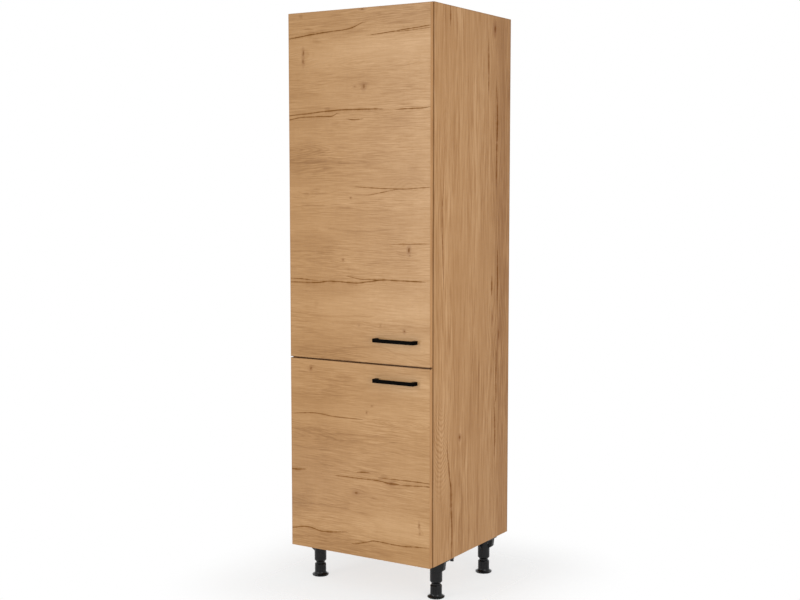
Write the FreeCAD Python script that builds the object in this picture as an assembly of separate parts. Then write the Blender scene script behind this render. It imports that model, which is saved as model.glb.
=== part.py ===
"""Tall fridge housing unit: carcass, two hung doors, cup hinges and screwed legs.

Millimetres. X runs to the right, Y to the back, Z up. The origin is on the floor, under the middle
of the unit's outer box, handles included.
"""
import FreeCAD
import Part
import math
import os

from FreeCAD import Vector

# Carcass
UNIT_WIDTH = 600.0
CARCASS_HEIGHT = 1950.0
CARCASS_DEPTH = 566.0
PANEL = 16.0
LEG_HEIGHT = 140.0
VENT_WIDTH = 400.0
VENT_DEPTH = 45.0
VENT_CORNER = 12.0
VENT_TO_BACK_PANEL = 2.0
RAIL_HEIGHT = 80.0
TOP_RAIL_DROP = 120.0
LOW_RAIL_RISE = 150.0
WALL_HOLE_SPACING = 400.0
WALL_HOLE_RADIUS = 4.0

# Lower cupboard
SHELF_SETBACK = 25.0
SHELF_PLAY = 1.0
SHELF_PITCH = 32.0
PIN_HOLES = 7
PIN_RADIUS = 2.5
PIN_HOLE_DEPTH = 10.0
PIN_HOLE_SPARE = 1.0
PIN_PEG = 7.0
PIN_COLLAR = 1.2
PIN_LINE = 60.0
BACK_PANEL = 3.0
GROOVE_DEPTH = 7.0
GROOVE_PLAY = 0.2

# Doors
DOOR = 16.0
DOOR_STANDOFF = 2.0
DOOR_SIDE_REVEAL = 2.0
DOOR_TOP_REVEAL = 3.0
DOOR_GAP = 4.0
LOWER_DOOR_HEIGHT = 703.0
EDGE_BAND = 1.0
EDGE_ROUND = 0.7
BUMPER_RADIUS = 4.0
BUMPER_CLEARANCE = 0.1

# Handles
HANDLE_SPACING = 160.0
HANDLE_FOOT = 14.0
HANDLE_BAR = 7.0
HANDLE_HEIGHT = 13.0
HANDLE_PROJECTION = 28.0
HANDLE_CORNER = 10.0
HANDLE_RIM = 1.2
HANDLE_EDGE_INSET = 58.0
UPPER_HANDLE_RISE = 84.0
LOWER_HANDLE_DROP = 55.0
HANDLE_SCREW_RADIUS = 2.0
HANDLE_SCREW_BITE = 10.0
HANDLE_HOLE_PLAY = 0.3

# Cup hinges: cup, arm and mounting plate
HINGE_END_INSET = 95.0
CUP_RADIUS = 17.5
CUP_DEPTH = 13.0
CUP_WALL = 0.8
CUP_EDGE_DISTANCE = 5.0
CUP_PLAY = 0.1
CUP_BRACKET_HALF = 2.2
EAR_THICKNESS = 1.2
EAR_HALF_WIDTH = 9.0
EAR_END_MARGIN = 6.0
EAR_CORNER = 5.0
EAR_ROOT = 12.6
EAR_SCREW_SPACING = 52.0
EAR_SCREW_OFFSET = 5.5
EAR_SCREW_RADIUS = 1.75
EAR_SCREW_BITE = 11.0
PLATE_LINE = 37.0
PLATE_BASE = 2.0
PLATE_HALF_WIDTH = 8.0
PLATE_END_MARGIN = 7.0
PLATE_CORNER = 5.0
PLATE_SCREW_SPACING = 32.0
PLATE_SCREW_RADIUS = 2.5
PLATE_SCREW_BITE = 11.0
SADDLE_TOP = 10.0
SADDLE_SETBACK = 3.0
SADDLE_PLAY = 0.3
BOSS_RADIUS = 4.0
BOSS_SETBACK = 12.0
BOSS_ROOT = 1.0
ARM_SCREW_RADIUS = 2.0
ARM_SHEET = 1.2
ARM_BACK = 62.0
ARM_FRONT = 20.0
ARM_PLATE_GAP = 2.0
ARM_WEB_COVER = 0.8
NOSE_HALF = 3.2
NOSE_TIP_HALF = 2.4
NOSE_ROOT = 6.0

# Cup hinges: links and pins, in layers out from the hinge's middle height
INNER_LINK_HALF = 2.6
BRACKET_LAYER = (3.0, 3.8)
OUTER_LINK_LAYER = (4.2, 5.4)
ARM_LAYER = (6.2, 7.4)
LAYER_GAP = 0.1
OUTER_LINK_HALVES = (3.0, 2.0, 2.4)
INNER_LINK_ARM_HALF = 2.3
INNER_LINK_ELBOW_HALF = 1.5
INNER_LINK_EYE_WALL = 0.9
OUTER_ARM_PIN = 1.5
INNER_ARM_PIN = 1.25
OUTER_CUP_PIN = 1.25
INNER_CUP_PIN = 1.0
PIN_HEAD = 0.4
PIVOT_PLAY = 0.04
OPEN_PIVOT_PLAY = 1.4

# Hinge pivots in plan, from the cup's axis (right) and the door's back face (into the door)
ARM_PIVOT_OUTER = (13.2, -15.2)
ARM_PIVOT_INNER = (4.5, 5.9)
CUP_PIVOT_OUTER = (-12.4, 1.7)
CUP_PIVOT_INNER = (-9.3, 6.9)
INNER_EYE_OFFSET = (-0.71, 0.99)
OUTER_LINK_ELBOW = (-3.9, 4.3)
INNER_LINK_ELBOW = (-0.1, 9.8)

# Carcass fittings
CAM_RADIUS = 7.5
CAM_DEPTH = 12.5
CAM_INSET = 34.0
CAM_SETBACK = 60.0
CAM_SLOT_HALF = 5.0
CAM_SLOT_WIDTH = 1.6
CAM_SLOT_DEPTH = 2.0
CAM_BOLT_RADIUS = 3.0
CAM_BOLT_BITE = 10.0
DOWEL_RADIUS = 4.0
DOWEL_BITE = 10.0
DOWEL_REACH = 20.0
DOWEL_SETBACK = 30.0
RAIL_DOWEL_INSET = 20.0
FITTING_PLAY = 0.1

# Screw heads: radius at the seat, height, and the share of the radius that is left at the top
HANDLE_SCREW_HEAD = (4.0, 1.8)
EAR_SCREW_HEAD = (3.6, 1.5)
PLATE_SCREW_HEAD = (4.2, 2.0)
ARM_SCREW_HEAD = (4.0, 2.0)
LEG_SCREW_HEAD = (3.6, 2.0)
HEAD_TAPER = 0.7

# Leg brackets, from the leg's own axis: X towards the side panel, Y towards the unit's middle
LEG_SIDE_INSET = 46.0
LEG_FRONT_INSET = 101.0
LEG_BACK_INSET = 105.0
LEG_PLATE = 4.0
LEG_PLATE_MARGIN = 1.0
LEG_PLATE_SHORT = 25.0
LEG_PLATE_LONG = 56.0
LEG_PLATE_CORNER = 6.0
LEG_PAD_RADIUS = 6.5
LEG_PAD_DROP = 10.0
LEG_TUBE_RADIUS = 22.5
LEG_TUBE_END = 53.0
LEG_TUBE_CHAMFER = 7.0
LEG_TUBE_BEVEL = 5.0
LEG_RIB = 3.0
LEG_RIB_DROP = 46.0
LEG_RIB_MARGIN = 3.0
LEG_GUSSET_REACH = 31.0
LEG_GUSSET_DROP = 36.0
LEG_ARM_SPAN = (-12.0, 4.0)
LEG_ARM_REACH = 40.0
LEG_ARM_LEAN = 4.0
LEG_ARM_DROP = 31.0
LEG_SCREW_RADIUS = 2.0
LEG_SCREW_BITE = 12.0
LEG_SCREW_OFFSETS = ((-36.0, -16.0), (-36.0, 32.0), (20.0, -19.0), (20.0, 32.0))

# Adjuster feet
LEG_STEM_RADIUS = 12.0
LEG_STEM_TOP = 108.0
LEG_STEM_SPARE = 3.0
LEG_NECK_RADIUS = 16.0
LEG_NECK_SEAT = 3.0
LEG_NECK_PLAY = 0.3
LEG_NECK_ROOM = 1.0
LEG_COLLAR_RADIUS = 21.4
LEG_COLLAR_TOP = 46.5
LEG_COLLAR_BEVEL = 2.5
LEG_FLARE_TOP = 16.0
LEG_FLARE_MIDDLE = 9.0
LEG_FLARE_SHARE = 0.25
LEG_FOOT_RADIUS = 31.0
LEG_FOOT_RIM = (2.0, 5.0)
LEG_FOOT_BEVEL = 1.5
LEG_FLUTES = 12
LEG_FLUTE_RADIUS = 2.4
LEG_FLUTE_START = 2.0
LEG_FLUTE_STOP = 4.0

# How far a cutter passes beyond the face that it opens
OVERRUN = 1.0

# Derived places
HALF_WIDTH = UNIT_WIDTH / 2
INNER_HALF = HALF_WIDTH - PANEL
TOTAL_DEPTH = HANDLE_PROJECTION + DOOR + DOOR_STANDOFF + CARCASS_DEPTH
DOOR_FRONT_Y = -TOTAL_DEPTH / 2 + HANDLE_PROJECTION
DOOR_BACK_Y = DOOR_FRONT_Y + DOOR
FRONT_Y = DOOR_BACK_Y + DOOR_STANDOFF
BACK_Y = TOTAL_DEPTH / 2
BASE_Z = LEG_HEIGHT
TOP_Z = BASE_Z + CARCASS_HEIGHT
LOWER_DOOR_TOP = BASE_Z + LOWER_DOOR_HEIGHT
UPPER_DOOR_BOTTOM = LOWER_DOOR_TOP + DOOR_GAP
UPPER_DOOR_TOP = TOP_Z - DOOR_TOP_REVEAL
NICHE_FLOOR_Z = UPPER_DOOR_BOTTOM - PANEL
DOOR_HALF = HALF_WIDTH - DOOR_SIDE_REVEAL
BACK_PANEL_Y = BACK_Y - VENT_DEPTH - VENT_TO_BACK_PANEL - BACK_PANEL
LOWER_SPACE = NICHE_FLOOR_Z - BASE_Z - PANEL
PIN_FIRST_Z = BASE_Z + PANEL + LOWER_SPACE / 2 - SHELF_PITCH * (PIN_HOLES - 1) / 2
SHELF_Z = PIN_FIRST_Z + SHELF_PITCH * (PIN_HOLES // 2) + PIN_RADIUS
SHELF_FRONT_Y = FRONT_Y + SHELF_SETBACK
SHELF_BACK_Y = BACK_PANEL_Y - SHELF_PLAY
DOOR_SPANS = {
    "upper": (UPPER_DOOR_BOTTOM, UPPER_DOOR_TOP),
    "lower": (BASE_Z, LOWER_DOOR_TOP),
}
HINGE_HEIGHTS = {
    "upper": (
        UPPER_DOOR_BOTTOM + HINGE_END_INSET,
        (UPPER_DOOR_BOTTOM + UPPER_DOOR_TOP) / 2,
        UPPER_DOOR_TOP - HINGE_END_INSET,
    ),
    "lower": (BASE_Z + HINGE_END_INSET, LOWER_DOOR_TOP - HINGE_END_INSET),
}
HANDLE_HEIGHTS = {
    "upper": UPPER_DOOR_BOTTOM + UPPER_HANDLE_RISE,
    "lower": LOWER_DOOR_TOP - LOWER_HANDLE_DROP,
}
HANDLE_RIGHT_X = DOOR_HALF - HANDLE_EDGE_INSET
HANDLE_LEFT_X = HANDLE_RIGHT_X - HANDLE_SPACING
CROSS_PANELS = {
    "bottom_panel": BASE_Z,
    "niche_floor": NICHE_FLOOR_Z,
    "top_panel": TOP_Z - PANEL,
}
RAIL_HEIGHTS = {
    "lower_rear_rail": UPPER_DOOR_BOTTOM + LOW_RAIL_RISE,
    "upper_rear_rail": TOP_Z - PANEL - TOP_RAIL_DROP - RAIL_HEIGHT,
}
CUP_X = -DOOR_HALF + CUP_EDGE_DISTANCE + CUP_RADIUS
ARM_TOP_X = CUP_X + ARM_PIVOT_OUTER[0] + ARM_WEB_COVER
BOSS_Y = FRONT_Y + ARM_BACK - BOSS_SETBACK
LEG_X = HALF_WIDTH - LEG_SIDE_INSET
LEG_PLATE_HALF = LEG_SIDE_INSET - LEG_PLATE_MARGIN
LEG_SEAT_Z = BASE_Z - LEG_PLATE
LEG_PLACES = {
    "front_left": (-1, FRONT_Y + LEG_FRONT_INSET, 1),
    "front_right": (1, FRONT_Y + LEG_FRONT_INSET, 1),
    "back_left": (-1, BACK_Y - LEG_BACK_INSET, -1),
    "back_right": (1, BACK_Y - LEG_BACK_INSET, -1),
}
LEG_SCREW_PLACES = [
    (side * (LEG_X + dx), y + inward * dy)
    for side, y, inward in LEG_PLACES.values()
    for dx, dy in LEG_SCREW_OFFSETS
]

X_AXIS = Vector(1, 0, 0)
Y_AXIS = Vector(0, 1, 0)
Z_AXIS = Vector(0, 0, 1)
ORIGIN = Vector(0, 0, 0)


def block(low, high):
    """Box between two corners."""
    size = [high[i] - low[i] for i in range(3)]
    return Part.makeBox(size[0], size[1], size[2], Vector(*low))


def rod(radius, start, end):
    """Cylinder from one point to another."""
    start = Vector(*start)
    along = Vector(*end) - start
    return Part.makeCylinder(radius, along.Length, start, along)


def prism(points, travel):
    """Flat outline of 3-D points, drawn out along a vector."""
    corners = [Vector(*p) for p in points]
    return Part.Face(Part.makePolygon(corners + corners[:1])).extrude(travel)


def joined(solids):
    """One clean solid from several that overlap or touch."""
    return solids[0].fuse(solids[1:]).removeSplitter().Solids[0]


def cut(solid, tools):
    """The solid less its tools, as one solid."""
    return solid.cut(Part.makeCompound(tools)).removeSplitter().Solids[0]


def edges_along(solid, axis, wanted=None):
    """Straight edges along an axis, all of them or those whose middle is wanted."""
    found = []
    for edge in solid.Edges:
        run = edge.Vertexes[-1].Point - edge.Vertexes[0].Point
        if abs(run.dot(axis)) > run.Length / 2 and (wanted is None or wanted(edge.CenterOfMass)):
            found.append(edge)
    return found


def save(node, solids):
    """Write one node: a single solid, or a group of separate ones."""
    shape = solids[0] if len(solids) == 1 else Part.makeCompound(solids)
    shape.exportStep("parts/" + node + ".step")


def screw(radius, tip, seat, head):
    """Plain-shank screw from its tip to its seat, with a low domed head beyond the seat."""
    tip = Vector(*tip)
    seat = Vector(*seat)
    along = (seat - tip).normalize()
    shank = Part.makeCylinder(radius, (seat - tip).Length, tip, along)
    head_radius, head_height = head
    top = Part.makeCone(head_radius, head_radius * HEAD_TAPER, head_height, seat, along)
    return joined([shank, top])


# Carcass boards and their fittings

def fitting_places():
    """Every cam place and dowel place, as (side, y, z) at the side panel's inner face."""
    cam_rows = [FRONT_Y + CAM_SETBACK, BACK_Y - CAM_SETBACK]
    dowel_rows = [FRONT_Y + DOWEL_SETBACK, BACK_Y - DOWEL_SETBACK]
    cams = []
    dowels = []
    for side in (-1, 1):
        for low_z in CROSS_PANELS.values():
            cams += [(side, y, low_z + PANEL / 2) for y in cam_rows]
            dowels += [(side, y, low_z + PANEL / 2) for y in dowel_rows]
        for low_z in RAIL_HEIGHTS.values():
            for rise in (RAIL_DOWEL_INSET, RAIL_HEIGHT - RAIL_DOWEL_INSET):
                dowels.append((side, BACK_Y - PANEL / 2, low_z + rise))
    return cams, dowels


CAM_PLACES, DOWEL_PLACES = fitting_places()


def across(place, radius, outward, inward):
    """Rod along X through a side panel's inner face, with a length on either side of it."""
    side, y, z = place
    face = side * INNER_HALF
    return rod(radius, (face + side * outward, y, z), (face - side * inward, y, z))


def fitting_holes(sides=(-1, 1)):
    """Cutters for the cam bolts and dowels, in the side panels and the boards between them."""
    play = FITTING_PLAY
    bolts = [
        across(place, CAM_BOLT_RADIUS + play, CAM_BOLT_BITE + play, CAM_INSET)
        for place in CAM_PLACES if place[0] in sides
    ]
    pegs = [
        across(place, DOWEL_RADIUS + play, DOWEL_BITE + play, DOWEL_REACH + play)
        for place in DOWEL_PLACES if place[0] in sides
    ]
    return bolts + pegs


def cam_cylinder(place, radius, depth):
    """Upright cylinder of a cam, sunk into the underside of its board."""
    side, y, z = place
    x = side * (INNER_HALF - CAM_INSET)
    return rod(radius, (x, y, z - PANEL / 2), (x, y, z - PANEL / 2 + depth))


def shelf_pin_places():
    """Shelf pin holes as (side, y, z), and those in use."""
    holes = []
    used = []
    for side in (-1, 1):
        for y in (SHELF_FRONT_Y + PIN_LINE, SHELF_BACK_Y - PIN_LINE):
            column = [(side, y, PIN_FIRST_Z + k * SHELF_PITCH) for k in range(PIN_HOLES)]
            holes += column
            used.append(column[PIN_HOLES // 2])
    return holes, used


PIN_HOLE_PLACES, PIN_PLACES = shelf_pin_places()


def plate_screw_places(door):
    """Mounting plate screws of a door's hinges, as (side, y, z) on the left side panel."""
    y = FRONT_Y + PLATE_LINE
    half = PLATE_SCREW_SPACING / 2
    return [(-1, y, z + d) for z in HINGE_HEIGHTS[door] for d in (-half, half)]


def side_panel(side):
    """Side with its fitting and shelf pin holes and the back groove; the left carries the hinges."""
    low_x, high_x = sorted((side * INNER_HALF, side * HALF_WIDTH))
    board = block((low_x, FRONT_Y, BASE_Z), (high_x, BACK_Y, TOP_Z))
    tools = fitting_holes([side])
    for place in PIN_HOLE_PLACES:
        if place[0] == side:
            tools.append(across(place, PIN_RADIUS + FITTING_PLAY, PIN_HOLE_DEPTH, OVERRUN))
    for door in HINGE_HEIGHTS:
        for place in plate_screw_places(door):
            if place[0] == side:
                radius = PLATE_SCREW_RADIUS + FITTING_PLAY
                tools.append(across(place, radius, PLATE_SCREW_BITE + FITTING_PLAY, OVERRUN))
    groove_x = sorted((side * (INNER_HALF - OVERRUN), side * (INNER_HALF + GROOVE_DEPTH)))
    groove_low = (groove_x[0], BACK_PANEL_Y - GROOVE_PLAY, BASE_Z + PANEL)
    groove_high = (groove_x[1], BACK_PANEL_Y + BACK_PANEL + GROOVE_PLAY, NICHE_FLOOR_Z)
    tools.append(block(groove_low, groove_high))
    return cut(board, tools)


def cross_panel(low_z):
    """Board between the sides, with the ventilation cut-out at its back."""
    board = block((-INNER_HALF, FRONT_Y, low_z), (INNER_HALF, BACK_Y, low_z + PANEL))
    half = VENT_WIDTH / 2
    low = (-half, BACK_Y - VENT_DEPTH, low_z - OVERRUN)
    vent = block(low, (half, BACK_Y + OVERRUN, low_z + PANEL + OVERRUN))
    vent = vent.makeFillet(VENT_CORNER, edges_along(vent, Z_AXIS, lambda middle: middle.y < BACK_Y))
    tools = [vent] + fitting_holes()
    for place in CAM_PLACES:
        tools.append(cam_cylinder(place, CAM_RADIUS + FITTING_PLAY, CAM_DEPTH + FITTING_PLAY))
    if low_z == BASE_Z:
        top = BASE_Z + LEG_SCREW_BITE + FITTING_PLAY
        for x, y in LEG_SCREW_PLACES:
            tools.append(rod(LEG_SCREW_RADIUS + FITTING_PLAY, (x, y, BASE_Z - OVERRUN), (x, y, top)))
    return cut(board, tools)


def rear_rail(node):
    """Rail between the sides at the back; the upper one has the wall fixing holes."""
    low_z = RAIL_HEIGHTS[node]
    rail = block((-INNER_HALF, BACK_Y - PANEL, low_z), (INNER_HALF, BACK_Y, low_z + RAIL_HEIGHT))
    tools = fitting_holes()
    if node == "upper_rear_rail":
        z = low_z + RAIL_HEIGHT / 2
        for x in (-WALL_HOLE_SPACING / 2, WALL_HOLE_SPACING / 2):
            inner = (x, BACK_Y - PANEL - OVERRUN, z)
            tools.append(rod(WALL_HOLE_RADIUS, inner, (x, BACK_Y + OVERRUN, z)))
    return cut(rail, tools)


def adjustable_shelf():
    """Loose board on the four pins."""
    half = INNER_HALF - SHELF_PLAY
    return block((-half, SHELF_FRONT_Y, SHELF_Z), (half, SHELF_BACK_Y, SHELF_Z + PANEL))


def back_panel():
    """Thin back of the lower cupboard, held in the sides' grooves."""
    half = INNER_HALF + GROOVE_DEPTH - GROOVE_PLAY
    low = (-half, BACK_PANEL_Y, BASE_Z + PANEL)
    return block(low, (half, BACK_PANEL_Y + BACK_PANEL, NICHE_FLOOR_Z))


def cam_lock(place):
    """Cam with the mouth that takes the bolt's head and a driver slot in the face."""
    side, y, z = place
    x = side * (INNER_HALF - CAM_INSET)
    face = z - PANEL / 2
    mouth_radius = CAM_BOLT_RADIUS + FITTING_PLAY
    mouth = rod(mouth_radius, (x - side * FITTING_PLAY, y, z), (x + side * 2 * CAM_RADIUS, y, z))
    slot = block(
        (x - CAM_SLOT_HALF, y - CAM_SLOT_WIDTH / 2, face - OVERRUN),
        (x + CAM_SLOT_HALF, y + CAM_SLOT_WIDTH / 2, face + CAM_SLOT_DEPTH),
    )
    return cut(cam_cylinder(place, CAM_RADIUS, CAM_DEPTH), [mouth, slot])


def shelf_pin(place):
    """Peg with a collar against the side panel; the shelf rests on the peg."""
    side, y, z = place
    peg = across(place, PIN_RADIUS, PIN_HOLE_DEPTH - PIN_HOLE_SPARE, PIN_PEG)
    lowered = (side, y, z - PIN_COLLAR)
    ring = across(lowered, PIN_RADIUS + PIN_COLLAR - FITTING_PLAY, 0.0, SHELF_PLAY - FITTING_PLAY)
    return joined([peg, ring])


# Doors and handles

def ear_screw_places(z):
    """Screws of one hinge cup, as (x, z) on the door's back."""
    x = CUP_X + EAR_SCREW_OFFSET
    half = EAR_SCREW_SPACING / 2
    return [(x, z - half), (x, z + half)]


def handle_screw_places(door):
    """Handle screws, as (x, z) on the door's front."""
    return [(x, HANDLE_HEIGHTS[door]) for x in (HANDLE_LEFT_X, HANDLE_RIGHT_X)]


def door_outline(door, inset, overrun=0.0):
    """Block of a door's outline, drawn in all round and longer through the thickness."""
    low, high = DOOR_SPANS[door]
    half = DOOR_HALF - inset
    return block((-half, DOOR_FRONT_Y - overrun, low + inset), (half, DOOR_BACK_Y + overrun, high - inset))


def door_board(door):
    """Door core with the cup bores in its back and the handle screw holes through it."""
    tools = []
    back = DOOR_BACK_Y
    for z in HINGE_HEIGHTS[door]:
        bore_end = back - CUP_DEPTH - CUP_PLAY
        tools.append(rod(CUP_RADIUS, (CUP_X, back + OVERRUN, z), (CUP_X, bore_end, z)))
        pilot_end = back - EAR_SCREW_BITE - FITTING_PLAY
        for x, screw_z in ear_screw_places(z):
            radius = EAR_SCREW_RADIUS + FITTING_PLAY
            tools.append(rod(radius, (x, back + OVERRUN, screw_z), (x, pilot_end, screw_z)))
    for x, z in handle_screw_places(door):
        radius = HANDLE_SCREW_RADIUS + HANDLE_HOLE_PLAY
        tools.append(rod(radius, (x, DOOR_FRONT_Y - OVERRUN, z), (x, back + OVERRUN, z)))
    return cut(door_outline(door, EDGE_BAND), tools)


def door_edge_band(door):
    """Edge strip all round the door board, with its outer edges eased."""
    outer = door_outline(door, 0.0)
    outer = outer.makeFillet(EDGE_ROUND, outer.Edges)
    return cut(outer, [door_outline(door, EDGE_BAND, OVERRUN)])


def rounded_bow(low, high, radius):
    """Block whose two upright front edges are rounded."""
    body = block(low, high)
    middle_y = (low[1] + high[1]) / 2
    return body.makeFillet(radius, edges_along(body, Z_AXIS, lambda middle: middle.y < middle_y))


def handle(door):
    """Bow handle: a flat bar that turns back to the door at both ends, softened round its front."""
    z_low = HANDLE_HEIGHTS[door] - HANDLE_HEIGHT / 2
    z_high = z_low + HANDLE_HEIGHT
    left = HANDLE_LEFT_X - HANDLE_FOOT / 2
    right = HANDLE_RIGHT_X + HANDLE_FOOT / 2
    front = DOOR_FRONT_Y - HANDLE_PROJECTION
    outer = rounded_bow((left, front, z_low), (right, DOOR_FRONT_Y, z_high), HANDLE_CORNER)
    inner_low = (left + HANDLE_FOOT, front + HANDLE_BAR, z_low - OVERRUN)
    inner_high = (right - HANDLE_FOOT, DOOR_FRONT_Y + OVERRUN, z_high + OVERRUN)
    bow = cut(outer, [rounded_bow(inner_low, inner_high, HANDLE_CORNER / 2)])
    rim = [
        edge for edge in bow.Edges
        if edge.BoundBox.YMin < front + HANDLE_RIM and edge.BoundBox.ZLength < HANDLE_RIM
    ]
    bow = bow.makeFillet(HANDLE_RIM, rim)
    end_y = DOOR_FRONT_Y - HANDLE_SCREW_BITE - FITTING_PLAY
    radius = HANDLE_SCREW_RADIUS + FITTING_PLAY
    holes = [
        rod(radius, (x, DOOR_FRONT_Y + OVERRUN, z), (x, end_y, z))
        for x, z in handle_screw_places(door)
    ]
    return cut(bow, holes)


def handle_screws(door):
    """Screws through the door into the handle's feet."""
    tip_y = DOOR_FRONT_Y - HANDLE_SCREW_BITE
    return [
        screw(HANDLE_SCREW_RADIUS, (x, tip_y, z), (x, DOOR_BACK_Y, z), HANDLE_SCREW_HEAD)
        for x, z in handle_screw_places(door)
    ]


def door_bumpers():
    """Soft discs on the right side panel's front edge, two behind each door."""
    x = HALF_WIDTH - PANEL / 2
    end_y = FRONT_Y - DOOR_STANDOFF + BUMPER_CLEARANCE
    heights = [
        z for low, high in DOOR_SPANS.values()
        for z in (low + HINGE_END_INSET, high - HINGE_END_INSET)
    ]
    return [rod(BUMPER_RADIUS, (x, FRONT_Y, z), (x, end_y, z)) for z in heights]


# Cup hinges

def at_cup(point):
    """Plan place of a pivot given from the cup's axis and the door's back face."""
    return CUP_X + point[0], DOOR_BACK_Y - point[1]


def layers(layer):
    """Both sheets of a pair, as (low, high) about the hinge's middle."""
    low, high = layer
    return ((low, high), (-high, -low))


def strap(points, halves, low, high):
    """Flat bar along points in plan, with a half width and a round end at each."""
    height = high - low
    solids = [
        Part.makeCylinder(half, height, Vector(x, y, low))
        for (x, y), half in zip(points, halves)
    ]
    for start, end, half in zip(points, points[1:], map(min, halves, halves[1:])):
        run = Vector(end[0] - start[0], end[1] - start[1], 0).normalize()
        off = Vector(-run.y, run.x, 0) * half
        ends = [Vector(start[0], start[1], low), Vector(end[0], end[1], low)]
        outline = [ends[0] + off, ends[1] + off, ends[1] - off, ends[0] - off]
        solids.append(prism(outline, Z_AXIS * height))
    return joined(solids)


def pin(point, radius, z_low, z_high):
    """Upright pin at a pivot."""
    x, y = at_cup(point)
    return rod(radius, (x, y, z_low), (x, y, z_high))


def hinge_cup(z):
    """Drawn steel cup with two ears, the inner pin's bracket and the holes for its pins."""
    back = DOOR_BACK_Y
    outer_radius = CUP_RADIUS - CUP_PLAY
    outer = rod(outer_radius, (CUP_X, back, z), (CUP_X, back - CUP_DEPTH, z))
    floor_y = back - CUP_DEPTH + CUP_WALL
    inner = rod(outer_radius - CUP_WALL, (CUP_X, back + OVERRUN, z), (CUP_X, floor_y, z))
    pieces = [cut(outer, [inner])]
    ear_x = CUP_X + EAR_SCREW_OFFSET
    ear_end = EAR_SCREW_SPACING / 2 + EAR_END_MARGIN
    for sign in (-1, 1):
        z_low, z_high = sorted((z + sign * EAR_ROOT, z + sign * ear_end))
        ear = block(
            (ear_x - EAR_HALF_WIDTH, back, z_low),
            (ear_x + EAR_HALF_WIDTH, back + EAR_THICKNESS, z_high),
        )
        outer_end = edges_along(ear, Y_AXIS, lambda middle: abs(middle.z - z) > (EAR_ROOT + ear_end) / 2)
        pieces.append(ear.makeFillet(EAR_CORNER, outer_end).cut(inner))
    px, py = at_cup(CUP_PIVOT_INNER)
    for low, high in layers(BRACKET_LAYER):
        pieces.append(block(
            (px - CUP_BRACKET_HALF, floor_y - CUP_WALL / 2, z + low),
            (px + CUP_BRACKET_HALF, py + CUP_BRACKET_HALF, z + high),
        ))
    reach = BRACKET_LAYER[1] + OVERRUN
    tools = [
        pin(CUP_PIVOT_OUTER, OUTER_CUP_PIN + PIVOT_PLAY, z - CUP_RADIUS, z + CUP_RADIUS),
        pin(CUP_PIVOT_INNER, INNER_CUP_PIN + PIVOT_PLAY, z - reach, z + reach),
    ]
    for x, screw_z in ear_screw_places(z):
        outside = (x, back + EAR_THICKNESS + OVERRUN, screw_z)
        tools.append(rod(EAR_SCREW_RADIUS + FITTING_PLAY, (x, back - OVERRUN, screw_z), outside))
    return cut(joined(pieces), tools)


def cup_pins(z):
    """Two stubs for the outer links, seated in the cup's wall, and one short pin in the bracket."""
    wall_middle = CUP_RADIUS - CUP_PLAY - CUP_WALL / 2
    reach = math.sqrt(wall_middle ** 2 - (abs(CUP_PIVOT_OUTER[0]) + OUTER_CUP_PIN) ** 2)
    inside = OUTER_LINK_LAYER[0] - LAYER_GAP
    bracket = BRACKET_LAYER[1]
    return [
        pin(CUP_PIVOT_OUTER, OUTER_CUP_PIN, z + inside, z + reach),
        pin(CUP_PIVOT_OUTER, OUTER_CUP_PIN, z - reach, z - inside),
        pin(CUP_PIVOT_INNER, INNER_CUP_PIN, z - bracket, z + bracket),
    ]


def arm_pins(z):
    """The two pins in the arm's nose."""
    outer = OUTER_LINK_LAYER[1] + PIN_HEAD
    inner = BRACKET_LAYER[1]
    return [
        pin(ARM_PIVOT_OUTER, OUTER_ARM_PIN, z - outer, z + outer),
        pin(ARM_PIVOT_INNER, INNER_ARM_PIN, z - inner, z + inner),
    ]


def outer_links(z):
    """Pair of hooked straps from the arm round the cup's rim."""
    points = [at_cup(p) for p in (ARM_PIVOT_OUTER, OUTER_LINK_ELBOW, CUP_PIVOT_OUTER)]
    solids = []
    for low, high in layers(OUTER_LINK_LAYER):
        link = strap(points, OUTER_LINK_HALVES, z + low, z + high)
        ends = (z + low - OVERRUN, z + high + OVERRUN)
        holes = [
            pin(ARM_PIVOT_OUTER, OUTER_ARM_PIN + PIVOT_PLAY, *ends),
            pin(CUP_PIVOT_OUTER, OUTER_CUP_PIN + PIVOT_PLAY, *ends),
        ]
        solids.append(cut(link, holes))
    return solids


def inner_link(z):
    """Bent lever between the arm's nose and the cup; its eye has room for the coupled motion."""
    eye = tuple(p + d for p, d in zip(CUP_PIVOT_INNER, INNER_EYE_OFFSET))
    eye_radius = INNER_CUP_PIN + OPEN_PIVOT_PLAY
    points = [at_cup(p) for p in (ARM_PIVOT_INNER, INNER_LINK_ELBOW, eye)]
    halves = (INNER_LINK_ARM_HALF, INNER_LINK_ELBOW_HALF, eye_radius + INNER_LINK_EYE_WALL)
    link = strap(points, halves, z - INNER_LINK_HALF, z + INNER_LINK_HALF)
    reach = INNER_LINK_HALF + OVERRUN
    holes = [
        pin(ARM_PIVOT_INNER, INNER_ARM_PIN + PIVOT_PLAY, z - reach, z + reach),
        pin(eye, eye_radius, z - reach, z + reach),
    ]
    return cut(link, holes)


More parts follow.
